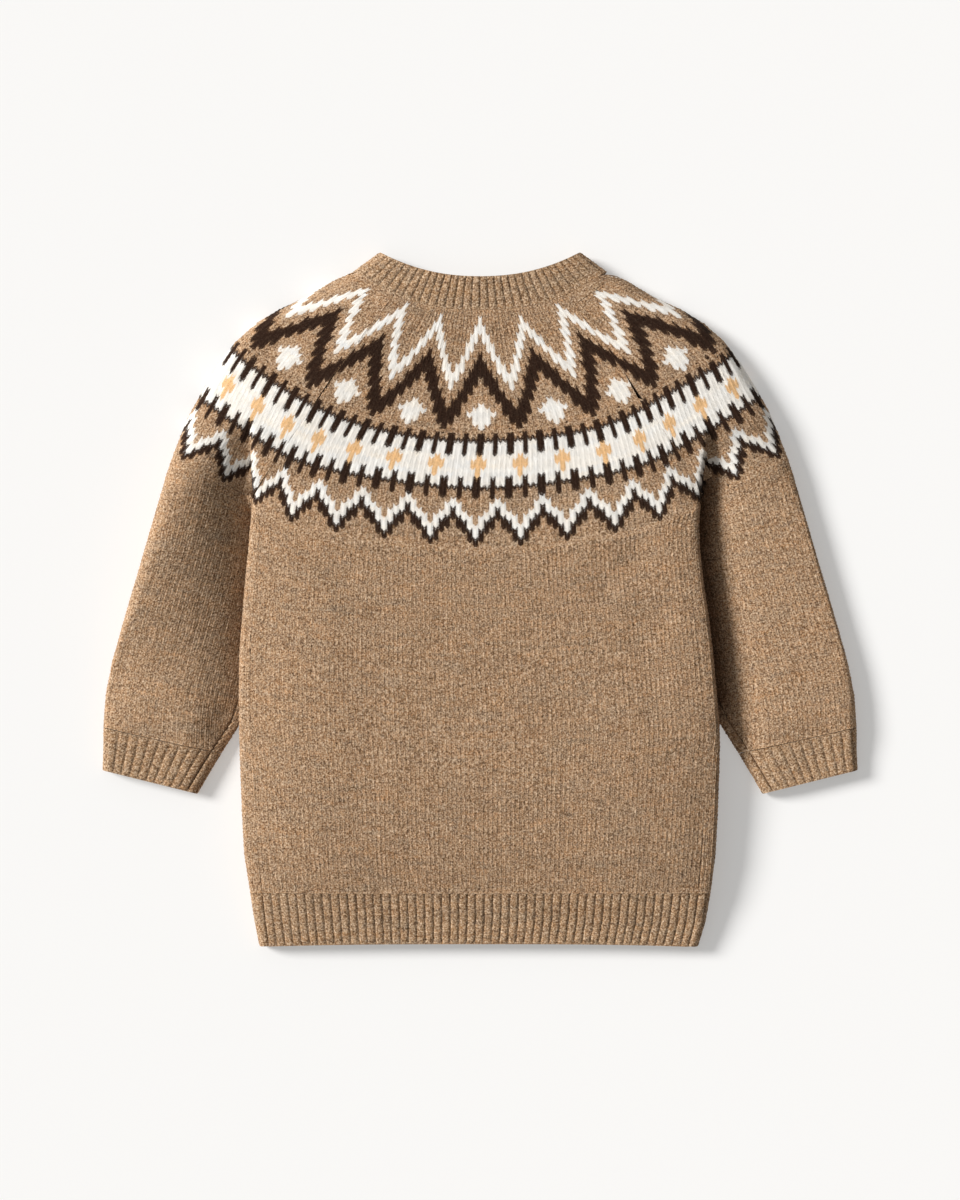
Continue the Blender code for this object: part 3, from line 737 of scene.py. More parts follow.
def spans(columns, first, last, inside):
    """Each column's stretch inside the piece: the ends of its longest run, or nothing."""
    v = np.linspace(first, last, 260)
    u = np.array([c[0] for c in columns])
    grid_u, grid_v = np.repeat(u, len(v)), np.tile(v, len(u))
    depth = inside(grid_u, grid_v).reshape(len(u), len(v))
    low, high = np.full(len(u), np.nan), np.full(len(u), np.nan)
    for n, row in enumerate(depth):
        ok = row > 0
        if not ok.any():
            continue
        edges = np.flatnonzero(np.diff(np.concatenate([[0], ok.astype(int), [0]])))
        runs = edges.reshape(-1, 2)
        a, b = runs[(runs[:, 1] - runs[:, 0]).argmax()]
        lo, hi = v[a], v[b - 1]
        if a > 0:
            lo = v[a] - (v[a] - v[a - 1]) * row[a] / (row[a] - row[a - 1])
        if b < len(v):
            hi = v[b - 1] + (v[b] - v[b - 1]) * row[b - 1] / (row[b - 1] - row[b])
        low[n], high[n] = lo, hi
    return low, high


# ---------------------------------------------------------------- the pattern, charted by rule

# The last yarn, used for the ribs, is the oat yarn made darker: painted shade of the ribs' grooves, on top of the real
# shade of their relief.
OAT, DARK, WHITE, OCHRE, RIB_SHADED_OAT = range(5)
YARN = dict(   # linear colour, heather
    colour=((0.446, 0.265, 0.146), (0.0240, 0.0098, 0.0052), (0.885, 0.847, 0.785), (0.86, 0.525, 0.25), (0.375, 0.218, 0.114)),
    heather=(1.0, 0.03, 0.05, 0.25, 1.0),
)
DIAMOND = {22: 0, 23: 1, 24: 2, 25: 1, 26: 1, 27: 0}
# The small zigzag, by stitches from its peak: first white row, first dark row, first oat row.
SMALL = dict(white=(44, 45, 47, 48, 50), dark=(46, 48, 49, 51, 53), end=(49, 51, 52, 54, 55))


def motif(s, r):
    """Yarn of a stitch at motif place s in row r, both arrays. Zigzags and diamonds over
    twelve stitches above, ticks, crosses and a small zigzag over sixteen below."""
    out = np.full(len(s), OAT)
    upper = r < ROWS_A
    c = np.abs((s * STS_A + 6) % 12 - 6)
    c = np.rint(c)
    late = (c > 3.5).astype(int)
    out[upper & (r >= 2 + 2 * c + late) & (r < 6 + 2 * c + late)] = WHITE
    out[upper & (r >= 10 + 2 * c + late) & (r < 16 + 2 * c + late)] = DARK
    for row, half in DIAMOND.items():
        out[(r == row) & (c <= half)] = WHITE
    i = np.rint(s * STS_B)
    lower = ~upper
    out[lower & (r >= 31) & (r <= 40)] = WHITE
    tick = i % 3 == 0
    off = s * STS_B - i
    wide = (np.abs(s * STS_B - 6 * np.rint(s * STS_B / 6)) < 0.72)
    both = tick | wide
    out[lower & both & (((r >= 28) & (r <= 33)) | ((r >= 39) & (r <= 43)))] = DARK
    out[(r == 30) | (r == 41)] = DARK
    out[lower & (r == 28) & (np.abs((s * STS_A + 6) % 12 - 6) > 5.5)] = DARK
    k = np.abs(i % 8 - 4).astype(int)
    m = np.abs((i + 4) % 8 - 4)
    out[lower & (((m == 0) & (r >= 34) & (r <= 38)) | ((m <= 1) & (r >= 35) & (r <= 36)))] = OCHRE
    white, dark, end = (np.array(SMALL[x])[k] for x in ("white", "dark", "end"))
    out[lower & (r >= white) & (r < dark)] = WHITE
    out[lower & (r >= dark) & (r < end)] = DARK
    return out


def tones(chance, rows, columns, spread_along=5):
    """How light each stitch is: uneven along each row, as the mixed yarn runs."""
    raw = chance.normal(0, 1, (rows, columns + 2 * spread_along))
    kernel = np.hanning(spread_along + 2)[1:-1]
    kernel /= np.sqrt((kernel**2).sum())
    slow = np.array([np.convolve(row, kernel, "same") for row in raw])[:, spread_along:-spread_along]
    return slow


class Dye:
    """Colours a piece's stitches: the yarn, and how light and how warm each stitch is."""

    def __init__(self, seed):
        chance = np.random.default_rng(seed)
        self.light = 0.06 * tones(chance, 240, 400) + 0.11 * chance.normal(0, 1, (240, 400))
        self.warm = 0.035 * tones(chance, 240, 400, 9) + 0.02 * chance.normal(0, 1, (240, 400))

    def __call__(self, yarn, column, row):
        column = np.asarray(column).astype(int) % 400
        row = np.asarray(row).astype(int) % 240
        base = np.array(YARN["colour"])[yarn]
        heather = np.array(YARN["heather"])[yarn]
        part = np.where(heather > 0.9, 1.0, 0.35)
        light = 1 + self.light[row, column] * part
        warm = self.warm[row, column] * part
        colour = base * light[:, None] * np.stack([1 + warm, np.ones_like(warm), 1 - 1.3 * warm], 1)
        return np.concatenate([np.clip(colour, 0, 1), heather[:, None]], 1)


# ---------------------------------------------------------------- cross-sections

class Table:
    """Points over a piece from dense cross-sections: stations along, even places across."""

    def __init__(self, stations, lines, middles=None, pitch=0.5):
        self.stations = np.asarray(stations, float)
        runs = [np.concatenate([[0], np.cumsum(np.linalg.norm(np.diff(l, axis=0), axis=1))]) for l in lines]
        if middles is None:      # places across run from 0 to 1
            self.first, self.step, count = 0.0, 1 / 400, 401
            at = [np.linspace(0, 1, 401) * run[-1] for run in runs]
            self.ends = None
        else:                    # places across are millimetres from the line's point number middle
            low = [-run[m] for run, m in zip(runs, middles)]
            high = [run[-1] - run[m] for run, m in zip(runs, middles)]
            self.ends = np.array(low), np.array(high)
            self.first, self.step = min(low) - 4, pitch
            count = int((max(high) + 4 - self.first) / pitch) + 2
            places = self.first + self.step * np.arange(count)
            at = [places + run[m] for run, m in zip(runs, middles)]
        rows = []
        for line, run, t in zip(lines, runs, at):
            row = np.stack([np.interp(t, run, line[:, n]) for n in range(3)], 1)
            for end, step in ((0, 2), (-1, -3)):
                ahead = line[end] - line[step]
                ahead /= np.linalg.norm(ahead)
                over = np.maximum(-t, 0) if end == 0 else np.maximum(t - run[-1], 0)
                row += over[:, None] * ahead
            rows.append(row)
        self.rows = np.array(rows)

    def __call__(self, across, station):
        i = np.clip((across - self.first) / self.step, 0, self.rows.shape[1] - 1.001)
        j = np.clip(np.interp(station, self.stations, np.arange(len(self.stations))), 0, len(self.stations) - 1.001)
        i0, j0 = i.astype(int), j.astype(int)
        fi, fj = (i - i0)[:, None], (j - j0)[:, None]
        r = self.rows
        return (r[j0, i0] * (1 - fi) + r[j0, i0 + 1] * fi) * (1 - fj) + (r[j0 + 1, i0] * (1 - fi) + r[j0 + 1, i0 + 1] * fi) * fj


def crowd(count):
    """Places from 0 to 1, very close together at both ends."""
    t = 0.5 - 0.5 * np.cos(np.pi * np.linspace(0, 1, count))
    return 0.5 * t + 0.5 * (0.5 - 0.5 * np.cos(np.pi * t))


def body_section(which, y):
    a, b = (np.interp(y, FORM.body[s][:, 1], FORM.body[s][:, 0]) for s in (-1, 1))
    inset = np.interp(y, SIDE_SEAM["y"], SIDE_SEAM["inset"])
    if which == "back":
        x = (a + inset + SEAM / 2) + (b - a - 2 * inset - SEAM) * np.linspace(0, 1, 261)
        yy = np.full(len(x), y)
        return np.stack([x, yy, FORM.body_sheets(x, yy)[0]], 1)
    x = a + (b - a) * crowd(361)
    yy = np.full(len(x), y)
    sheet = np.stack([x, yy, FORM.body_sheets(x, yy)[1]], 1)
    d = (inset - SEAM / 2) * np.linspace(0, 1, 31)[1:] ** 2
    wings = []
    for edge, inward in ((a, 1), (b, -1)):
        wx, wy = edge + inward * d, np.full(len(d), y)
        wings.append(np.stack([wx, wy, FORM.body_sheets(wx, wy)[0]], 1))
    return np.concatenate([wings[0][::-1], sheet, wings[1]])


FRONT_T = (134.0, 60.5, 14.0, 2.15)      # the front's line between plain and pattern


def back_t(x):
    s = np.linspace(-2.62, 2.62, 106)
    tx, ty = drawn(s, np.full(len(s), float(ROWS)))
    tx = np.concatenate([[-134.6], tx, [131.0]])
    ty = np.concatenate([[60.3], ty, [60.3]])
    keep = np.concatenate([[True], np.diff(tx) > 0])
    return np.minimum(np.interp(x, tx[keep], ty[keep]), 60.4)


class BodyPlain:
    """The plain part of a body panel: columns from side seam to side seam, rows from the rib."""

    def __init__(self, which, columns, rows, low=RIB_Y + SEAM / 2):
        ys = np.arange(-172.6, 62.6, 2.6)
        self.table = Table(ys, [body_section(which, y) for y in ys])
        self.which, self.columns, self.rows, self.low = which, columns, rows, low

    def __call__(self, u, v):
        t = u / self.columns
        x = self.table(t, np.zeros(len(t)))[:, 0]
        for _ in range(3):
            if self.which == "back":
                top = back_t(x)
            else:
                top = np.where(np.abs(x) < FRONT_T[0], neck_curve(x, FRONT_T), FRONT_T[1])
            y = self.low + (top - self.low) * v / self.rows
            x = self.table(t, y)[:, 0]
        point = self.table(t, y)
        return np.stack([point[:, 0], y, point[:, 2]], 1)


def rib_section(which, share):
    y = (RIB_Y - SEAM / 2) + (HEM_Y - RIB_Y + SEAM / 2) * share
    line = body_section(which, y)
    a, b = line[:, 0].min(), line[:, 0].max()
    t = (line[:, 0] - a) / (b - a)
    line[:, 1] -= HEM_CORNER_DROP * share * np.abs(2 * t - 1) ** 3
    return line


def sleeve_section(side, k):
    """The sleeve's cross-section at station k: seam, upper sheet, outer fold, lower sheet, inner
    fold, seam. The second value is the outer fold's place in it."""
    outer, inner = sleeve_lines(side)
    rows = np.arange(len(outer))
    o = np.array([np.interp(k, rows, outer[:, n]) for n in (0, 1)])
    i = np.array([np.interp(k, rows, inner[:, n]) for n in (0, 1)])
    inset = np.interp(k, rows, SLEEVE_SEAM)
    width = np.linalg.norm(o - i)
    start, stop = (inset + SEAM / 2) / width, (inset - SEAM / 2) / width
    upper = i + (o - i) * (start + (1 - start) * crowd(221))[:, None]
    lower = i + (o - i) * crowd(221)[::-1][1:, None]
    wing = i + (o - i) * (stop * np.linspace(0, 1, 25)[1:] ** 2)[:, None]
    line = [np.column_stack([upper, FORM.sleeve_sheets(side, upper[:, 0], upper[:, 1])[0]])]
    line.append(np.column_stack([lower, FORM.sleeve_sheets(side, lower[:, 0], lower[:, 1])[1]]))
    line.append(np.column_stack([wing, FORM.sleeve_sheets(side, wing[:, 0], wing[:, 1])[0]]))
    return np.concatenate(line), 220


SLEEVE_PITCH, SLEEVE_ROW = 2.84, 2.04


class SleevePlain:
    """A sleeve below the yoke. Columns run parallel to the outer fold. u grows outwards over
    the upper sheet, round the fold and back under; v grows from the cuff."""

    def __init__(self, side, first=CUFF_SECTIONS - 1, last=12, rows=78):
        ks = np.linspace(first, last, 6 * (last - first) + 1)
        lines = [sleeve_section(side, k) for k in ks]
        self.table = Table(ks, [l for l, _ in lines], [m for _, m in lines], 0.4)
        fold = np.array([l[m] for l, m in lines])
        run = np.concatenate([[0], np.cumsum(np.linalg.norm(np.diff(fold, axis=0), axis=1))])
        self.ks, self.run, self.rows = ks, run / run[-1], rows
        self.side = side
        low, high = self.table.ends
        self.low, self.high = low, high

    def station(self, v):
        return np.interp(v / self.rows, self.run, self.ks)

    def __call__(self, u, v):
        return self.table(u * SLEEVE_PITCH, self.station(v))

    def inside(self, u, v):
        k = self.station(v)
        e = u * SLEEVE_PITCH
        return np.minimum(e - np.interp(k, self.ks, self.low), np.interp(k, self.ks, self.high) - e)

    def columns(self):
        return math.floor(self.low.min() / SLEEVE_PITCH), math.ceil(self.high.max() / SLEEVE_PITCH)


# ---------------------------------------------------------------- creases and steps

# Soft creases of the upper sheet, listed one by one: ends (mm), half width, depth (below) or height (above, negative).
CREASE = dict(
    x0=   ( -118.0, -96.0,  104.0,  120.0,  -60.0,  30.0),
    y0=   (   48.0,  20.0,   40.0,   10.0,  -40.0, -70.0),
    x1=   (  -70.0, -40.0,   62.0,   84.0,   10.0,  96.0),
    y1=   (   10.0, -30.0,   -6.0,  -36.0,  -70.0, -96.0),
    half= (    9.0,  12.0,    8.0,   10.0,   14.0,  12.0),
    depth=(    0.7,   0.5,    0.7,    0.6,    0.45,  0.5),
)


def creases(x, y):
    out = np.zeros_like(x)
    for x0, y0, x1, y1, half, depth in zip(*(CREASE[k] for k in ("x0", "y0", "x1", "y1", "half", "depth"))):
        line = np.array([(x0, y0), (x1, y1)], float)
        span = line[1] - line[0]
        t = ((x - x0) * span[0] + (y - y0) * span[1]) / (span**2).sum()
        d = np.abs((x - x0) * span[1] - (y - y0) * span[0]) / np.hypot(*span)
        out -= depth * np.exp(-((d / half) ** 2)) * np.exp(-(((t - 0.5) / 0.42) ** 4))
    return out


# Beside the body each sleeve's upper sheet sinks. Its height there, from the body's side fold
# (0) to the sleeve's outer fold (1), on three lines across: the wearer's left sleeve falls away
# from its outer fold, most above the elbow, and the right one lies low beside the body.
WEDGE = {
    -1: dict(at=(-0.2, 0.00, 0.06, 0.12, 0.18, 0.24, 0.32, 0.42, 0.55, 0.70, 0.85, 1.00),
             high=(3.9, 4.0, 6.1, 8.2, 10.3, 12.4, 15.0, 18.0, 21.0, 23.2, 24.4, 25.0),
             middle=(3.9, 4.0, 6.5, 8.8, 10.8, 12.5, 14.5, 16.6, 18.7, 20.3, 21.3, 21.8),
             low=(3.9, 4.0, 6.2, 8.2, 9.8, 11.2, 12.5, 13.4, 13.8, 13.3, 11.9, 9.6)),
    1: dict(at=(-0.2, 0.00, 0.06, 0.12, 0.18, 0.24, 0.32, 0.42, 0.55, 0.70, 0.85, 1.00),
            high=(3.8, 3.8, 4.2, 5.2, 6.6, 8.0, 9.2, 10.1, 10.7, 11.0, 11.1, 11.1),
            middle=(3.8, 3.8, 4.2, 5.2, 6.6, 7.8, 8.9, 9.8, 10.4, 10.7, 10.8, 10.8),
            low=(3.8, 3.8, 4.2, 5.3, 6.8, 8.2, 9.5, 10.4, 11.0, 11.3, 11.4, 11.4)),
}
# Above the underarm the body's fold runs on into the sleeve's yoke, where it dies out.
PLEAT = {
    -1: dict(y=(60.5, 75.0, 90.0, 105.5), x=(134.6, 134.4, 134.6, 135.4), share=(1.0, 0.72, 0.42, 0.0)),
    1: dict(y=(60.5, 75.0, 90.0, 102.0), x=(130.8, 132.2, 134.0, 135.2), share=(1.0, 0.75, 0.45, 0.0)),
}


def sink(side, x, y, z):
    """How far the sleeve's upper sheet moves up or, beside the body, down, never onto the lower sheet."""
    outer, inner = FORM.outer[side], FORM.inner[side]
    edge = np.interp(y, BODY_SIDE["y"], BODY_SIDE["left" if side < 0 else "right"])
    fold = PLEAT[side]
    edge = np.where(y > 60.5, np.interp(y, fold["y"], fold["x"]), edge)
    edge = np.maximum(edge, side * np.interp(y, inner[:, 1], inner[:, 0]))
    far = side * np.interp(y, outer[:, 1], outer[:, 0])
    out = side * x - edge
    q = out / np.maximum(far - edge, 20.0)
    wedge = WEDGE[side]
    high, middle, low = (np.interp(q, wedge["at"], wedge[k]) for k in ("high", "middle", "low"))
    share = np.clip(y / 45.0, -1, 1)
    target = middle * (1 - np.abs(share)) + high * np.maximum(share, 0) + low * np.maximum(-share, 0)
    d = nearest(x, y, outer)[0]
    if side < 0:    # a crest along the outer fold
        crest = fuller(d, np.interp(y, (-100.0, -60.0, -45.0, -10.0, 25.0, 60.0, 115.0), (0.6, 1.6, 2.6, 5.4, 7.6, 7.4, 0.0)), 2.6, 46.0)
    else:
        crest = np.interp(y, (-100.0, -70.0, 45.0, 84.0), (0.4, 1.0, 1.0, 0.0)) * fuller(d, 1.2, 2.6, 22.0)
    z = z + crest
    over = z - target
    drop = (over + np.sqrt(over**2 + 1.0)) / 2 - 0.04
    seam = -75.2 - (222.8 - side * x) / 68.4 * 14.8       # the cuff's seam
    share = np.interp(y - seam, (-30.0, 0.0, 25.0), (0.15, 0.45, 1.0))
    share = np.where(y > 60.5, np.interp(y, fold["y"], fold["share"]) * smooth((out + 2.6) / 2.6), share)
    floor = FORM.sleeve_sheets(side, x, y)[1] + WALL + 0.35
    return crest - np.minimum(np.maximum(drop, 0) * share, np.maximum(z - floor, 0))


def cleft(side):
    """Painted shade low down in the cleft between the right sleeve and the body's side, added to the points' darkening.
    """
    def shade(points):
        x, y, _ = points.T
        edge = np.interp(y, BODY_SIDE["y"], BODY_SIDE["right"])
        edge = np.where(y > 60.5, np.interp(y, PLEAT[1]["y"], PLEAT[1]["x"]), edge)
        deep = smooth((16.0 - (x - edge)) / 14.0) * (x > edge - 4.0)
        return 2.2 * deep * np.interp(y, (-78.0, -60.0, 66.0, 88.0), (0.0, 1.0, 1.0, 0.0))
    return shade if side > 0 else None


def fuller(d, most, turn, reach):
    """Makes a fold squarer: the sheet rises sooner beside it."""
    return most * (arc(d / turn) - smooth((d - turn) / reach))


def drape_of(kind, side=0):
    def drape(points, normals):
        x, y, z = points.T
        if kind == "band":
            return np.zeros(len(x))
        # 1 on the upper sheet, 0 on the lower one.
        top, bottom = FORM.sleeve_sheets(side, x, y) if side else FORM.body_sheets(x, y)
        up = smooth((z - bottom) / np.maximum(top - bottom, 0.4))
        lift = creases(x, y) if kind in ("body", "sleeve") else np.zeros(len(x))
        if kind in ("body", "front", "rib"):
            share = np.interp(y, (-203.0, -172.6, -140.0, 40.0, 60.5, 76.0), (0.8, 0.9, 1.0, 1.0, 0.6, 0.0))
            away = {n: nearest(x, y, FORM.body[n]) for n in (-1, 1)}
            high = read(BODY_TOP, "plateau", y) + read(BODY_TOP, "dome", y) * ease(away[-1][0] / DOME_REACH) * ease(away[1][0] / DOME_REACH)
            for n, (d, k) in away.items():
                rows = np.arange(len(BODY_SIDE["y"]))
                low, r = np.interp(k, rows, BODY_SIDE["height"]), np.interp(k, rows, BODY_SIDE["r"])
                # The fold is squarer than the form's: the sheet is at its height 1.8 mm in.
                squarer = fold_loss(d, high, low, r, EDGE_SLOPE, False) - (high - low) * (1 - arc(d / 1.8))
                most = np.interp(y, (-110.0, -60.0), (1.2, 3.6)) if n > 0 else 0.0
                lift = lift + share * (squarer + fuller(d, most, 1.8, 40.0))
        if kind in ("sleeve", "cuff"):
            lift = lift + sink(side, x, y, z)
        return lift * up
    return drape


# How deep a piece's open edges roll in: flush where the knitting runs on, deeper at a seam.
def body_edges(points, uv):
    y = points[:, 1]
    side = np.interp(y, (-172.0, -150.0, -110.0), (0.7, 0.45, 0.12))
    return np.where(y < RIB_Y + 2.0, 0.1, np.where(y > 60.5, 0.24, side))


def sleeve_edges(points, uv):
    y = points[:, 1]
    cuff = (y < -60.0) & (uv[:, 1] < 0.4)
    return np.where(cuff, 0.1, np.where(y > 60.5, np.where(y > 168.0, 0.12, 0.24), 1.3))


def rib_edges(rows, seam, flush=0.1):
    def edges(points, uv):
        v = uv[:, 1]
        return np.where(v > rows - 0.5, flush, np.where(v < 0.5, 0.35, seam))
    return edges


def band_edges(points, uv):
    return np.where(uv[:, 1] < 0.5, 0.12, 0.4)


# ---------------------------------------------------------------- pieces

def stitches(profile, first, last, fine):
    """A patch's columns: every stitch's, or for the lining one in three."""
    if fine:
        return columns_of(profile, first, last)
    marks = list(np.arange(first, last, 3.0)) + [float(last)]
    return [(u, 0.0, LINING[0][2]) for u in marks]


def level(columns, value):
    return np.full(len(columns), float(value))


def stretch(loop, points, start, stop):
    """The part of a closed loop from point id start, onwards, to the point nearest stop."""
    a = int(np.flatnonzero(loop == start)[0])
    b = int(((points[loop] - np.array(stop)) ** 2).sum(1).argmin())
    if b < a:
        b += len(loop)
    return loop[np.arange(a, b + 1) % len(loop)]


def join(shell, low, high, tint, flip):
    """Sews the top edge of one patch to the bottom edge of the next, both in the order of u."""
    tri = sew(np.concatenate(shell.points), low, high, flip)
    shell.faces.append(tri)
    shell.tints.append(np.tile(tint, (len(tri), 1)))


def rim(faces):
    return max(rims(np.concatenate(faces)), key=len)


def make_body(name, which, seed):
    dye = Dye(seed)
    plain_tint = np.append(YARN["colour"][OAT], 1.0)
    counts, rows = (100, 103) if which == "back" else (116, 92)
    flip = which == "front"
    shells = []
    for fine in (True, False):
        shell = Shell(name, seed)
        step = 1.0 if fine else 3.0
        place = BodyPlain(which, counts, rows)
        cols = stitches(PLAIN, 0, counts, fine)
        plain = lay(shell, place, cols, level(cols, 0), level(cols, rows - 0.45),
            lambda u, w: dye(np.full(len(u), OAT), np.floor(u), np.floor(w)), flip, step)[3]
        zones = []
        for sts, first, last, offset in ((STS_B, ROWS, ROWS_A, 60), (STS_A, ROWS_A, -3, 120)):
            reach = 2.95 if which == "back" else 2.5
            edge = math.floor(reach * sts)
            # Stitch n is centred on n, so its borders are at n - 0.5 and n + 0.5.
            if which == "back":
                cols = [(u - 0.5, lift, marks) for u, lift, marks in stitches(PLAIN, -edge, edge + 1, fine)]
                place_zone = lambda u, v, sts=sts: on_yoke(u / sts, -v)
                inside = lambda u, v, sts=sts: back_inside(*drawn(u / sts, -v))
                low, high = spans(cols, -first + 0.35, -last - 0.35, inside)
            else:
                cols = stitches(PLAIN, -edge, edge, fine)
                place_zone = lambda u, v, sts=sts, edge=edge: front_yoke(u / edge, -v)
                low, high = level(cols, -first + 0.35), level(cols, -max(last, 0) - (0.35 if last > 0 else 0.0))
            chart = lambda u, w, sts=sts, offset=offset: dye(
                motif(u / sts, -np.floor(w) - 1), np.floor(u + 0.5) + 200, -np.floor(w) + offset)
            zones.append(lay(shell, place_zone, cols, low, high, chart, flip, step))
        join(shell, plain, zones[0][2], plain_tint, flip)
        join(shell, zones[0][3], zones[1][2], plain_tint, flip)
        shells.append(shell)
    tint = np.append(np.array(YARN["colour"][OAT]) * 0.9, 1.0)
    return finish_shell(*shells, drape_of("body" if which == "back" else "front"), tint, MATERIALS["yoke"], body_edges)


def front_yoke(t, r):
    """Mid-surface points of the front's yoke: t from -1 to 1 across, r rows from the neck."""
    share = 1 - r / ROWS
    ends = []
    for side in (-1, 1):
        line = raglan(side, "front")
        run = np.concatenate([[0], np.cumsum(np.linalg.norm(np.diff(line, axis=0), axis=1))])
        run /= run[-1]
        gap = np.interp(share, run, RAGLAN_GAP["front"])
        ends.append((np.interp(share, run, line[:, 0]) - side * gap, np.interp(share, run, line[:, 1])))
    (ax, ay), (bx, by) = ends
    f = (t + 1) / 2
    x, y = ax + (bx - ax) * f, ay + (by - ay) * f
    deep = (FRONT_T[1] - FRONT_T[2]) * (1 - share) + (FRONT_NECK[1] - FRONT_NECK[2]) * share
    y = y - deep * (1 - np.abs(t) ** 2.15) - SEAM / 2 * share
    return np.stack([x, y, FORM.body_sheets(x, y)[1]], 1)


def make_hem(name, which, seed):
    dye = Dye(seed)
    count, rows = (51, 15) if which == "back" else (59, 15)
    shares = np.linspace(0, 1, 13)
    table = Table(shares, [rib_section(which, s) for s in shares])
    wave = np.random.default_rng(seed + 5).normal(0, 1, 4000)

    def place(u, v):
        bend = 0.0022 * np.sin(v * 0.9 + 7 * np.sin(u * 1.7)) / 3
        return table(np.clip(u / count + bend * np.sin(np.pi * np.clip(u / count, 0, 1)), 0, 1), 1 - v / rows)

    shells = []
    for fine in (True, False):
        shell = Shell(name, seed)
        cols = stitches(RIB, 0, count, fine)
        lay(shell, place, cols, level(cols, 0), level(cols, rows),
            lambda u, w: dye(np.full(len(u), RIB_SHADED_OAT), np.floor(u), np.floor(w)), which == "front", 1.0 if fine else 3.0)
        shells.append(shell)
    tint = np.append(np.array(YARN["colour"][RIB_SHADED_OAT]) * 0.9, 1.0)
    return finish_shell(*shells, drape_of("rib"), tint, MATERIALS["rib"], rib_edges(rows, 0.8), 1.6)


def make_cuff(name, side, seed):
    dye = Dye(seed)
    count, rows = 24, 14
    ks = np.linspace(0, CUFF_SECTIONS - 1, 13)
    lines = []
    for k in ks:
        line, _ = sleeve_section(side, k)
        if k == ks[-1]:
            line = line + (sleeve_section(side, k - 0.02)[0][: len(line)] - line) * 0.5
        lines.append(line)
    table = Table(ks, lines)

    def place(u, v):
        return table(u / count, ks[-1] * v / rows)

    shells = []
    for fine in (True, False):
        shell = Shell(name, seed)
        cols = stitches(RIB, 0, count, fine)
        lay(shell, place, cols, level(cols, 0), level(cols, rows - 0.07),
            lambda u, w: dye(np.full(len(u), RIB_SHADED_OAT), np.floor(u), np.floor(w)), side < 0, 1.0 if fine else 3.0)
        shells.append(shell)
    tint = np.append(np.array(YARN["colour"][RIB_SHADED_OAT]) * 0.9, 1.0)
    return finish_shell(*shells, drape_of("cuff", side), tint, MATERIALS["rib"], rib_edges(rows, 1.3), 1.6)


def band_ring(share):
    """The neckband's ring at a share of its height, from the left fold round the back and the front."""
    u = np.concatenate([2 * crowd(321) - 1, (1 - 2 * crowd(321))[1:-1]])
    back = np.arange(len(u)) < 321
    size = np.abs(u)
    # The neck seam: from the raglan's end to the fold it is straight, between the raglans it dips.
    x0 = u * (NECK_FOLD[0] - 1.05)
    def seam(spec):
        ax = np.abs(x0)
        inner = neck_curve(x0, spec)
        out = spec[1] + (NECK_FOLD[1] - spec[1]) * (ax - spec[0]) / (NECK_FOLD[0] - spec[0])
        return np.where(ax > spec[0], out, inner)
    # Both halves meet at the fold, where the back's seam crosses it.
    meet = smooth((np.abs(x0) - 62.0) / 12.3) * 0.94
    y0 = np.where(back, seam(BACK_NECK), seam(FRONT_NECK) + meet) + SEAM / 2
    peak = BAND_PEAK[0] - 1.1, BAND_PEAK[1] - 1.0
    x = x0 + (u * peak[0] - x0) * share
    low = np.where(back, BACK_BAND_TOP, FRONT_BAND_TOP)
    power = np.where(back, 2.2, FRONT_NECK[3])
    top = peak[1] - (peak[1] - low) * (1 - size**power)
    y = y0 + (top - y0) * share
    upper, lower = FORM.body_sheets(x, y)
    z = np.where(back, upper, lower)
    edge = (size > 0.9999)
    z = np.where(edge, (upper + lower) / 2, z)
    return np.stack([x, y, z], 1)


def make_neckband(name, seed):
    dye = Dye(seed)
    count, rows = 74, 10
    shares = np.linspace(0, 1, 11)
    rings = [band_ring(s) for s in shares]
    rings = [np.concatenate([r, r[:1]]) for r in rings]
    # Ribs start at the seam and keep their share of the ring there.
    run = np.concatenate([[0], np.cumsum(np.linalg.norm(np.diff(rings[4], axis=0), axis=1))])
    run /= run[-1]
    rows_at = np.stack([np.stack([np.interp(np.linspace(0, 1, 1601), run, r[:, n]) for n in range(3)], 1) for r in rings])

    def place(u, v):
        i = np.clip((u / count) % 1.0, 0, 1) * 1600
        i = np.clip(i, 0, 1599.999)
        j = np.clip(v / rows * (len(shares) - 1), 0, len(shares) - 1.001)
        i0, j0 = i.astype(int), j.astype(int)
        fi, fj = (i - i0)[:, None], (j - j0)[:, None]
        r = rows_at
        return (r[j0, i0] * (1 - fi) + r[j0, i0 + 1] * fi) * (1 - fj) + (r[j0 + 1, i0] * (1 - fi) + r[j0 + 1, i0 + 1] * fi) * fj

    shells = []
    for fine in (True, False):
        shell = Shell(name, seed)
        cols = stitches(RIB, 0, count, fine)[:-1]

        # Painted shade: the chart darkens the band's colour, most in the middle of the back.
        def chart(u, w):     # the band is a little darker, most in the middle of the back
            dark = 0.92 - 0.09 * np.exp(-(((u - count / 4) / 9.0) ** 2))
            return dye(np.full(len(u), RIB_SHADED_OAT), np.floor(u), np.floor(w)) * np.stack([dark, dark, dark, np.ones(len(u))], 1)

        lay(shell, place, cols, level(cols, 0), level(cols, rows), chart, False, 1.0 if fine else 3.0, ring=True)
        shells.append(shell)
    tint = np.append(np.array(YARN["colour"][RIB_SHADED_OAT]) * 0.8, 1.0)
    return finish_shell(*shells, drape_of("band"), tint, MATERIALS["rib"], band_edges, 1.6)


UNDER = FOLD_C + 8.0        # the upper yoke's columns run this far past the fold


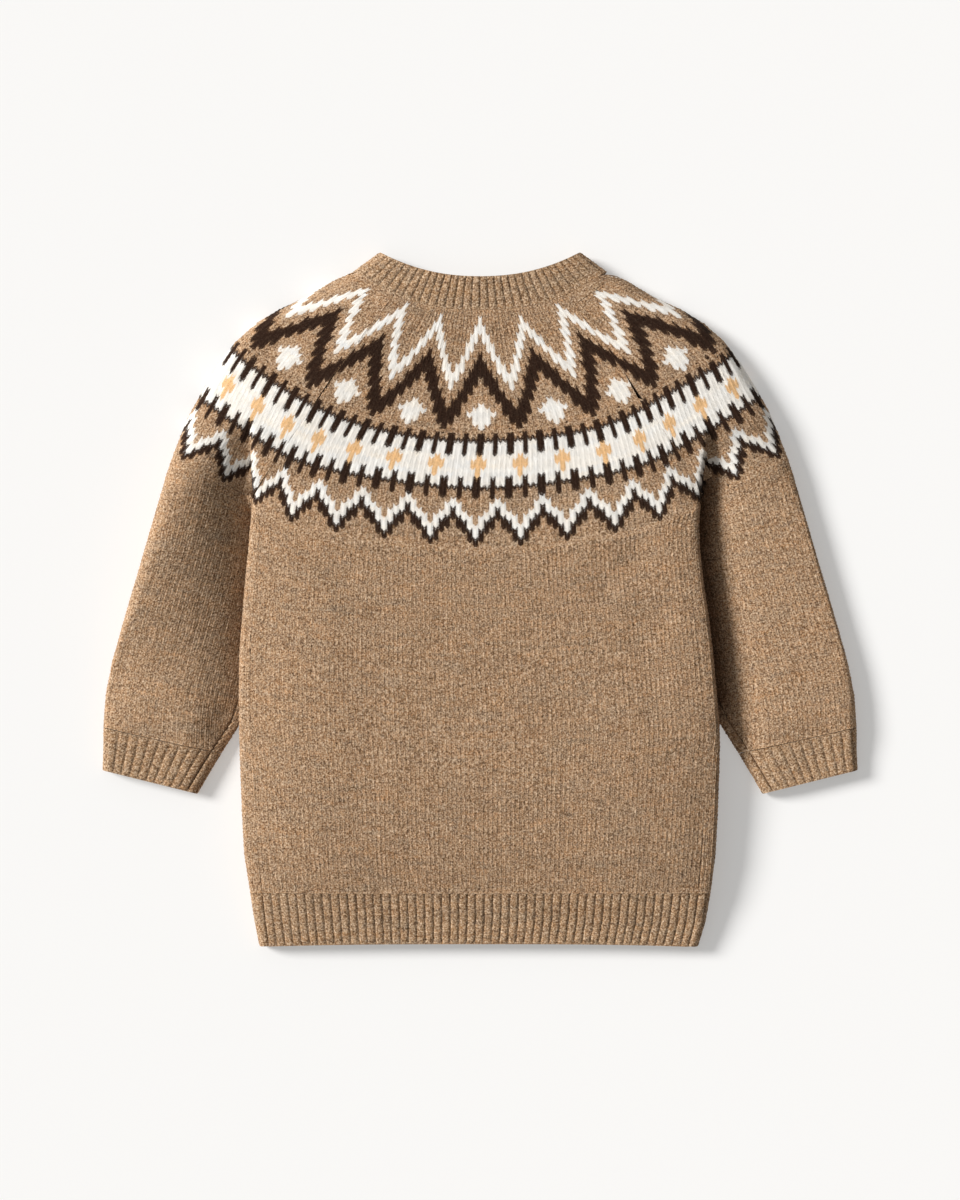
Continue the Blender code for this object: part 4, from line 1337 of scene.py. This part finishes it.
def sleeve_under(side, f, r, count=None):
    """The sleeve's yoke on the lower sheet: f from 0 beside the fold to 1 at the front raglan."""
    share = 1 - r / ROWS
    shoulder = FORM.outer[side][len(SLEEVE["outer_x"]) - 1 : -1]
    run = np.concatenate([[0], np.cumsum(np.linalg.norm(np.diff(shoulder, axis=0), axis=1))])
    run /= run[-1]
    fx, fy = np.interp(share, run, shoulder[:, 0]), np.interp(share, run, shoulder[:, 1])
    ahead = np.gradient(shoulder, axis=0)
    ahead /= np.linalg.norm(ahead, axis=1)[:, None]
    nx, ny = (np.interp(share, run, c) for c in (-ahead[:, 1] * side, ahead[:, 0] * side))
    size = np.hypot(nx, ny)
    d = FOLD_R * math.sin((8.0 + 0.9) / FOLD_R)
    ax, ay = fx + nx / size * d, fy + ny / size * d - 0.3 * share
    line = raglan(side, "front")
    run = np.concatenate([[0], np.cumsum(np.linalg.norm(np.diff(line, axis=0), axis=1))])
    run /= run[-1]
    gap = np.interp(share, run, RAGLAN_GAP["front"]) * side
    bx, by = np.interp(share, run, line[:, 0]) + gap, np.interp(share, run, line[:, 1]) - SEAM / 2 * share
    x, y = ax + (bx - ax) * f, ay + (by - ay) * f
    return np.stack([x, y, FORM.sleeve_sheets(side, x, y)[1]], 1)


def make_sleeve(name, side, seed):
    dye = Dye(seed)
    flip = side < 0
    plain_tint = np.append(YARN["colour"][OAT], 1.0)
    plain = SleevePlain(side)
    rows = plain.rows
    shells = []
    for fine in (True, False):
        shell = Shell(name, seed)
        step = 1.0 if fine else 3.0
        a, b = plain.columns()
        cols = stitches(PLAIN, a, b, fine)
        low, high = spans(cols, 0.07, rows - 0.45, plain.inside)
        tube = lay(shell, plain, cols, low, high,
            lambda u, w: dye(np.full(len(u), OAT), np.floor(u), np.floor(w)), flip, step)[3]
        uppers, lowers, upper = [], [], []
        for sts, first, last, offset in ((STS_B, ROWS, ROWS_A, 60), (STS_A, ROWS_A, -15, 120)):
            begin = len(shell.faces)
            cols = [(u - 0.5, lift, marks) for u, lift, marks in stitches(PLAIN, math.floor(1.7 * sts), math.ceil(5.0 * sts), fine)]
            place_zone = lambda u, v, sts=sts: on_yoke(side * u / sts, -v, side)
            inside = lambda u, v, sts=sts: sleeve_inside(side, side * u / sts, -v, UNDER)
            low, high = spans(cols, -first + 0.35, -last - 0.35, inside)
            chart = lambda u, w, sts=sts, offset=offset: dye(
                motif(side * u / sts, -np.floor(w) - 1), np.floor(u + 0.5) + 200, -np.floor(w) + offset)
            uppers.append(lay(shell, place_zone, cols, low, high, chart, flip, step))
            upper += shell.faces[begin:]
            wide = round(1.75 * sts)
            cols = [(u - 0.5 + 0.0, lift, marks) for u, lift, marks in stitches(PLAIN, 0, wide, fine)]
            place_zone = lambda u, v, sts=sts, wide=wide: sleeve_under(side, (u + 0.5) / wide, -v)
            low, high = level(cols, -first + 0.35), level(cols, -max(last, 0) - (0.35 if last > 0 else 0.0))
            chart = lambda u, w, sts=sts, offset=offset: dye(
                motif(u / sts + 4.0, -np.floor(w) - 1), np.floor(u + 0.5) + 300, -np.floor(w) + offset)
            lowers.append(lay(shell, place_zone, cols, low, high, chart, flip, step))
        join(shell, uppers[0][3], uppers[1][2], plain_tint, flip)
        upper.append(shell.faces[-1])
        join(shell, lowers[0][3], lowers[1][2], plain_tint, flip)
        # Round the fold: the upper part's outer edge to the lower part's first columns.
        points = np.concatenate(shell.points)
        loop = rim(upper)
        if flip:
            loop = loop[::-1]
        outer = stretch(loop, points, uppers[0][2][-1], sleeve_under(side, np.array([0.0]), np.array([0.0]))[0])
        under = np.concatenate([lowers[0][0], lowers[1][0]])
        join(shell, outer, under, plain_tint, not flip)
        join(shell, tube, np.concatenate([uppers[0][2], lowers[0][2]]), plain_tint, flip)
        shells.append(shell)
    tint = np.append(np.array(YARN["colour"][OAT]) * 0.9, 1.0)
    return finish_shell(*shells, drape_of("sleeve", side), tint, MATERIALS["yoke"], sleeve_edges, shade=cleft(side))


# ---------------------------------------------------------------- materials

def wool(name, rib=False):
    """Mixed wool: the stitch's own yarn colour, with fibres of other shades through it, darkened by painted shade where
    the yarn lies deep between the stitches.
    """
    made = bpy.data.materials.new(name)
    made.use_nodes = True
    tree = made.node_tree
    nodes, links = tree.nodes, tree.links
    shader = nodes["Principled BSDF"]
    shader.inputs["Roughness"].default_value = 0.92
    shader.inputs["Specular IOR Level"].default_value = 0.08
    shader.inputs["Sheen Weight"].default_value = 0.06
    shader.inputs["Sheen Roughness"].default_value = 0.55
    shader.inputs["Sheen Tint"].default_value = (0.9, 0.82, 0.72, 1)

    yarn = nodes.new("ShaderNodeAttribute")
    yarn.attribute_name = "yarn"
    soft = nodes.new("ShaderNodeAttribute")
    soft.attribute_name = "yarn_soft"
    where = nodes.new("ShaderNodeTexCoord")

    def noise(scale, detail=1.0, rough=0.5, stretch=None):
        node = nodes.new("ShaderNodeTexNoise")
        node.inputs["Scale"].default_value = scale
        node.inputs["Detail"].default_value = detail
        node.inputs["Roughness"].default_value = rough
        if stretch:
            mapping = nodes.new("ShaderNodeMapping")
            mapping.inputs["Scale"].default_value = stretch
            links.new(where.outputs["Object"], mapping.inputs["Vector"])
            links.new(mapping.outputs["Vector"], node.inputs["Vector"])
        else:
            links.new(where.outputs["Object"], node.inputs["Vector"])
        return node

    def ramp(source, low, high, to=(0.0, 1.0)):
        node = nodes.new("ShaderNodeMapRange")
        node.inputs["From Min"].default_value = low
        node.inputs["From Max"].default_value = high
        node.inputs["To Min"].default_value = to[0]
        node.inputs["To Max"].default_value = to[1]
        links.new(source, node.inputs["Value"])
        return node.outputs["Result"]

    def times(a, b):
        node = nodes.new("ShaderNodeMath")
        node.operation = "MULTIPLY"
        for socket, value in zip(node.inputs, (a, b)):
            if isinstance(value, float):
                socket.default_value = value
            else:
                links.new(value, socket)
        return node.outputs["Value"]

    def mixed(fac, a, b, mode="MIX"):
        node = nodes.new("ShaderNodeMix")
        node.data_type = "RGBA"
        node.blend_type = mode
        for socket, value in ((node.inputs["Factor"], fac), (node.inputs["A"], a), (node.inputs["B"], b)):
            if isinstance(value, (float, tuple)):
                socket.default_value = value
            else:
                links.new(value, socket)
        return node.outputs["Result"]

    fibres = noise(1250.0, 1.0, 0.6)
    split = nodes.new("ShaderNodeSeparateColor")
    links.new(fibres.outputs["Color"], split.inputs["Color"])
    ragged = noise(1700.0, 0.0, 0.5)
    # Where two yarns meet, the border is ragged at the scale of a strand.
    colour = mixed(ramp(ragged.outputs["Fac"], 0.48, 0.60), yarn.outputs["Color"], soft.outputs["Color"])
    heather = yarn.outputs["Alpha"]
    clumps = noise(330.0, 1.0, 0.5, (1.0, 1.6, 1.0))
    links_split = nodes.new("ShaderNodeSeparateColor")
    links.new(clumps.outputs["Color"], links_split.inputs["Color"])
    pale = times(times(ramp(split.outputs["Red"], 0.50, 0.66), heather), 0.45)
    colour = mixed(pale, colour, (0.66, 0.50, 0.34, 1))
    ochre = times(times(ramp(split.outputs["Green"], 0.55, 0.70), heather), 0.35)
    colour = mixed(ochre, colour, (0.56, 0.33, 0.13, 1))
    dark = times(times(ramp(split.outputs["Blue"], 0.53, 0.68), heather), 0.45)
    colour = mixed(dark, colour, (0.12, 0.075, 0.05, 1))
    grey = times(times(ramp(links_split.outputs["Green"], 0.54, 0.66), heather), 0.30)
    colour = mixed(grey, colour, (0.27, 0.205, 0.16, 1))
    sandy = times(times(ramp(links_split.outputs["Blue"], 0.54, 0.66), heather), 0.25)
    colour = mixed(sandy, colour, (0.50, 0.32, 0.17, 1))
    # The speckle of single fibres, light and dark.
    speck = noise(1050.0, 1.0, 0.55)
    colour = mixed(times(ramp(speck.outputs["Fac"], 0.50, 0.80), heather), colour, (0.84, 0.64, 0.45, 1))
    colour = mixed(times(ramp(speck.outputs["Fac"], 0.50, 0.20), heather), colour, (0.052, 0.018, 0.004, 1))
    # Painted shade: the colour is darkened towards brown where the yarn lies deep between the stitches and in painted
    # clefts, weaker for the white, dark and ochre yarns.
    deep = nodes.new("ShaderNodeAttribute")
    deep.attribute_name = "deep"
    painted_shade_weight = ramp(heather, 0.0, 1.0, (0.16, 0.62 if rib else 0.36))
    colour = mixed(times(deep.outputs["Fac"], painted_shade_weight), colour, (0.22, 0.17, 0.14, 1), "MULTIPLY")
    links.new(colour, shader.inputs["Base Color"])

    fuzz = noise(2100.0, 2.0, 0.65)
    bump = nodes.new("ShaderNodeBump")
    bump.inputs["Strength"].default_value = 0.55
    bump.inputs["Distance"].default_value = 0.00035
    links.new(fuzz.outputs["Fac"], bump.inputs["Height"])
    links.new(bump.outputs["Normal"], shader.inputs["Normal"])
    return made


MATERIALS = {"yoke": wool("yoke_wool"), "rib": wool("rib_wool", True)}

# ---------------------------------------------------------------- the jumper

PIECES = {
    "jumper_back": (make_body("jumper_back", "back", 11), "body_back", "yoke_knit"),
    "jumper_front": (make_body("jumper_front", "front", 12), "body_front", "yoke_knit"),
    "sleeve_l": (make_sleeve("sleeve_l", -1, 13), "sleeve_left", "yoke_knit"),
    "sleeve_r": (make_sleeve("sleeve_r", 1, 14), "sleeve_right", "yoke_knit"),
    "neck_rib": (make_neckband("neck_rib", 15), "neckband", "rib_knit"),
    "hem_back": (make_hem("hem_back", "back", 16), "hem_rib_back", "rib_knit"),
    "hem_front": (make_hem("hem_front", "front", 17), "hem_rib_front", "rib_knit"),
    "cuff_l": (make_cuff("cuff_l", -1, 18), "cuff_left", "rib_knit"),
    "cuff_r": (make_cuff("cuff_r", 1, 19), "cuff_right", "rib_knit"),
}
# The cut of each piece, flat: width, length and area (m, m2).
CUT = {
    "jumper_back": (0.284, 0.352, 0.0827),
    "jumper_front": (0.322, 0.336, 0.0868),
    "sleeve_l": (0.190, 0.300, 0.0430),
    "sleeve_r": (0.190, 0.300, 0.0430),
    "neck_rib": (0.355, 0.020, 0.0066),
    "hem_back": (0.262, 0.031, 0.0081),
    "hem_front": (0.300, 0.031, 0.0093),
    "cuff_l": (0.130, 0.027, 0.0035),
    "cuff_r": (0.130, 0.027, 0.0035),
}
for name, (item, node, slot) in PIECES.items():
    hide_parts(node)
    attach(item, "root")
    width, length, area = CUT[name]
    tris = len(item.data.polygons)
    print("made", name, tris, "faces")

# ---------------------------------------------------------------- floor, light, camera

floor_mesh = bpy.data.meshes.new("floor")
R = 60.0
floor_mesh.from_pydata([(-R, -R, 0), (R, -R, 0), (R, R, 0), (-R, R, 0)], [], [(0, 1, 2, 3)])
floor = bpy.data.objects.new("floor", floor_mesh)
bpy.context.scene.collection.objects.link(floor)
paper = bpy.data.materials.new("paper")
paper.use_nodes = True
paper.node_tree.nodes["Principled BSDF"].inputs["Base Color"].default_value = (0.603, 0.599, 0.594, 1)
paper.node_tree.nodes["Principled BSDF"].inputs["Emission Color"].default_value = (1.0, 0.992, 0.975, 1)
paper.node_tree.nodes["Principled BSDF"].inputs["Emission Strength"].default_value = 0.318
paper.node_tree.nodes["Principled BSDF"].inputs["Roughness"].default_value = 0.95
paper.node_tree.nodes["Principled BSDF"].inputs["Specular IOR Level"].default_value = 0.0
floor_mesh.materials.append(paper)

world = bpy.data.worlds.new("studio")
world.use_nodes = True
world.node_tree.nodes["Background"].inputs["Color"].default_value = (1.0, 0.995, 0.985, 1)
world.node_tree.nodes["Background"].inputs["Strength"].default_value = 0.17
bpy.context.scene.world = world

# A low lamp and a wide, high soft box, both to the upper left of the photo.
for name, energy, angle, elevation, bearing in (("lamp", 4.62, 19, 31, 158), ("softbox", 0.49, 100, 55, 150)):
    lamp = bpy.data.lights.new(name, "SUN")
    lamp.energy = energy
    lamp.angle = math.radians(angle)
    lamp.color = (1.0, 0.993, 0.98)
    sun = bpy.data.objects.new(name, lamp)
    sun.rotation_euler = (math.radians(90 - elevation), 0, math.radians(bearing + 90))
    bpy.context.scene.collection.objects.link(sun)

bpy.context.scene.view_settings.view_transform = "Standard"
bpy.context.scene.view_settings.look = "None"

lens = bpy.data.cameras.new("camera")
lens.sensor_fit = "VERTICAL"
lens.sensor_height = 36.0
lens.lens = 85.0
lens.clip_end = 20.0
camera = bpy.data.objects.new("camera", lens)
camera.location = (0.0, -0.0003, 0.010 + 1200 * PX * MM * 85.0 / 36.0)
bpy.context.scene.collection.objects.link(camera)
bpy.context.scene.camera = camera

bpy.context.view_layer.update()
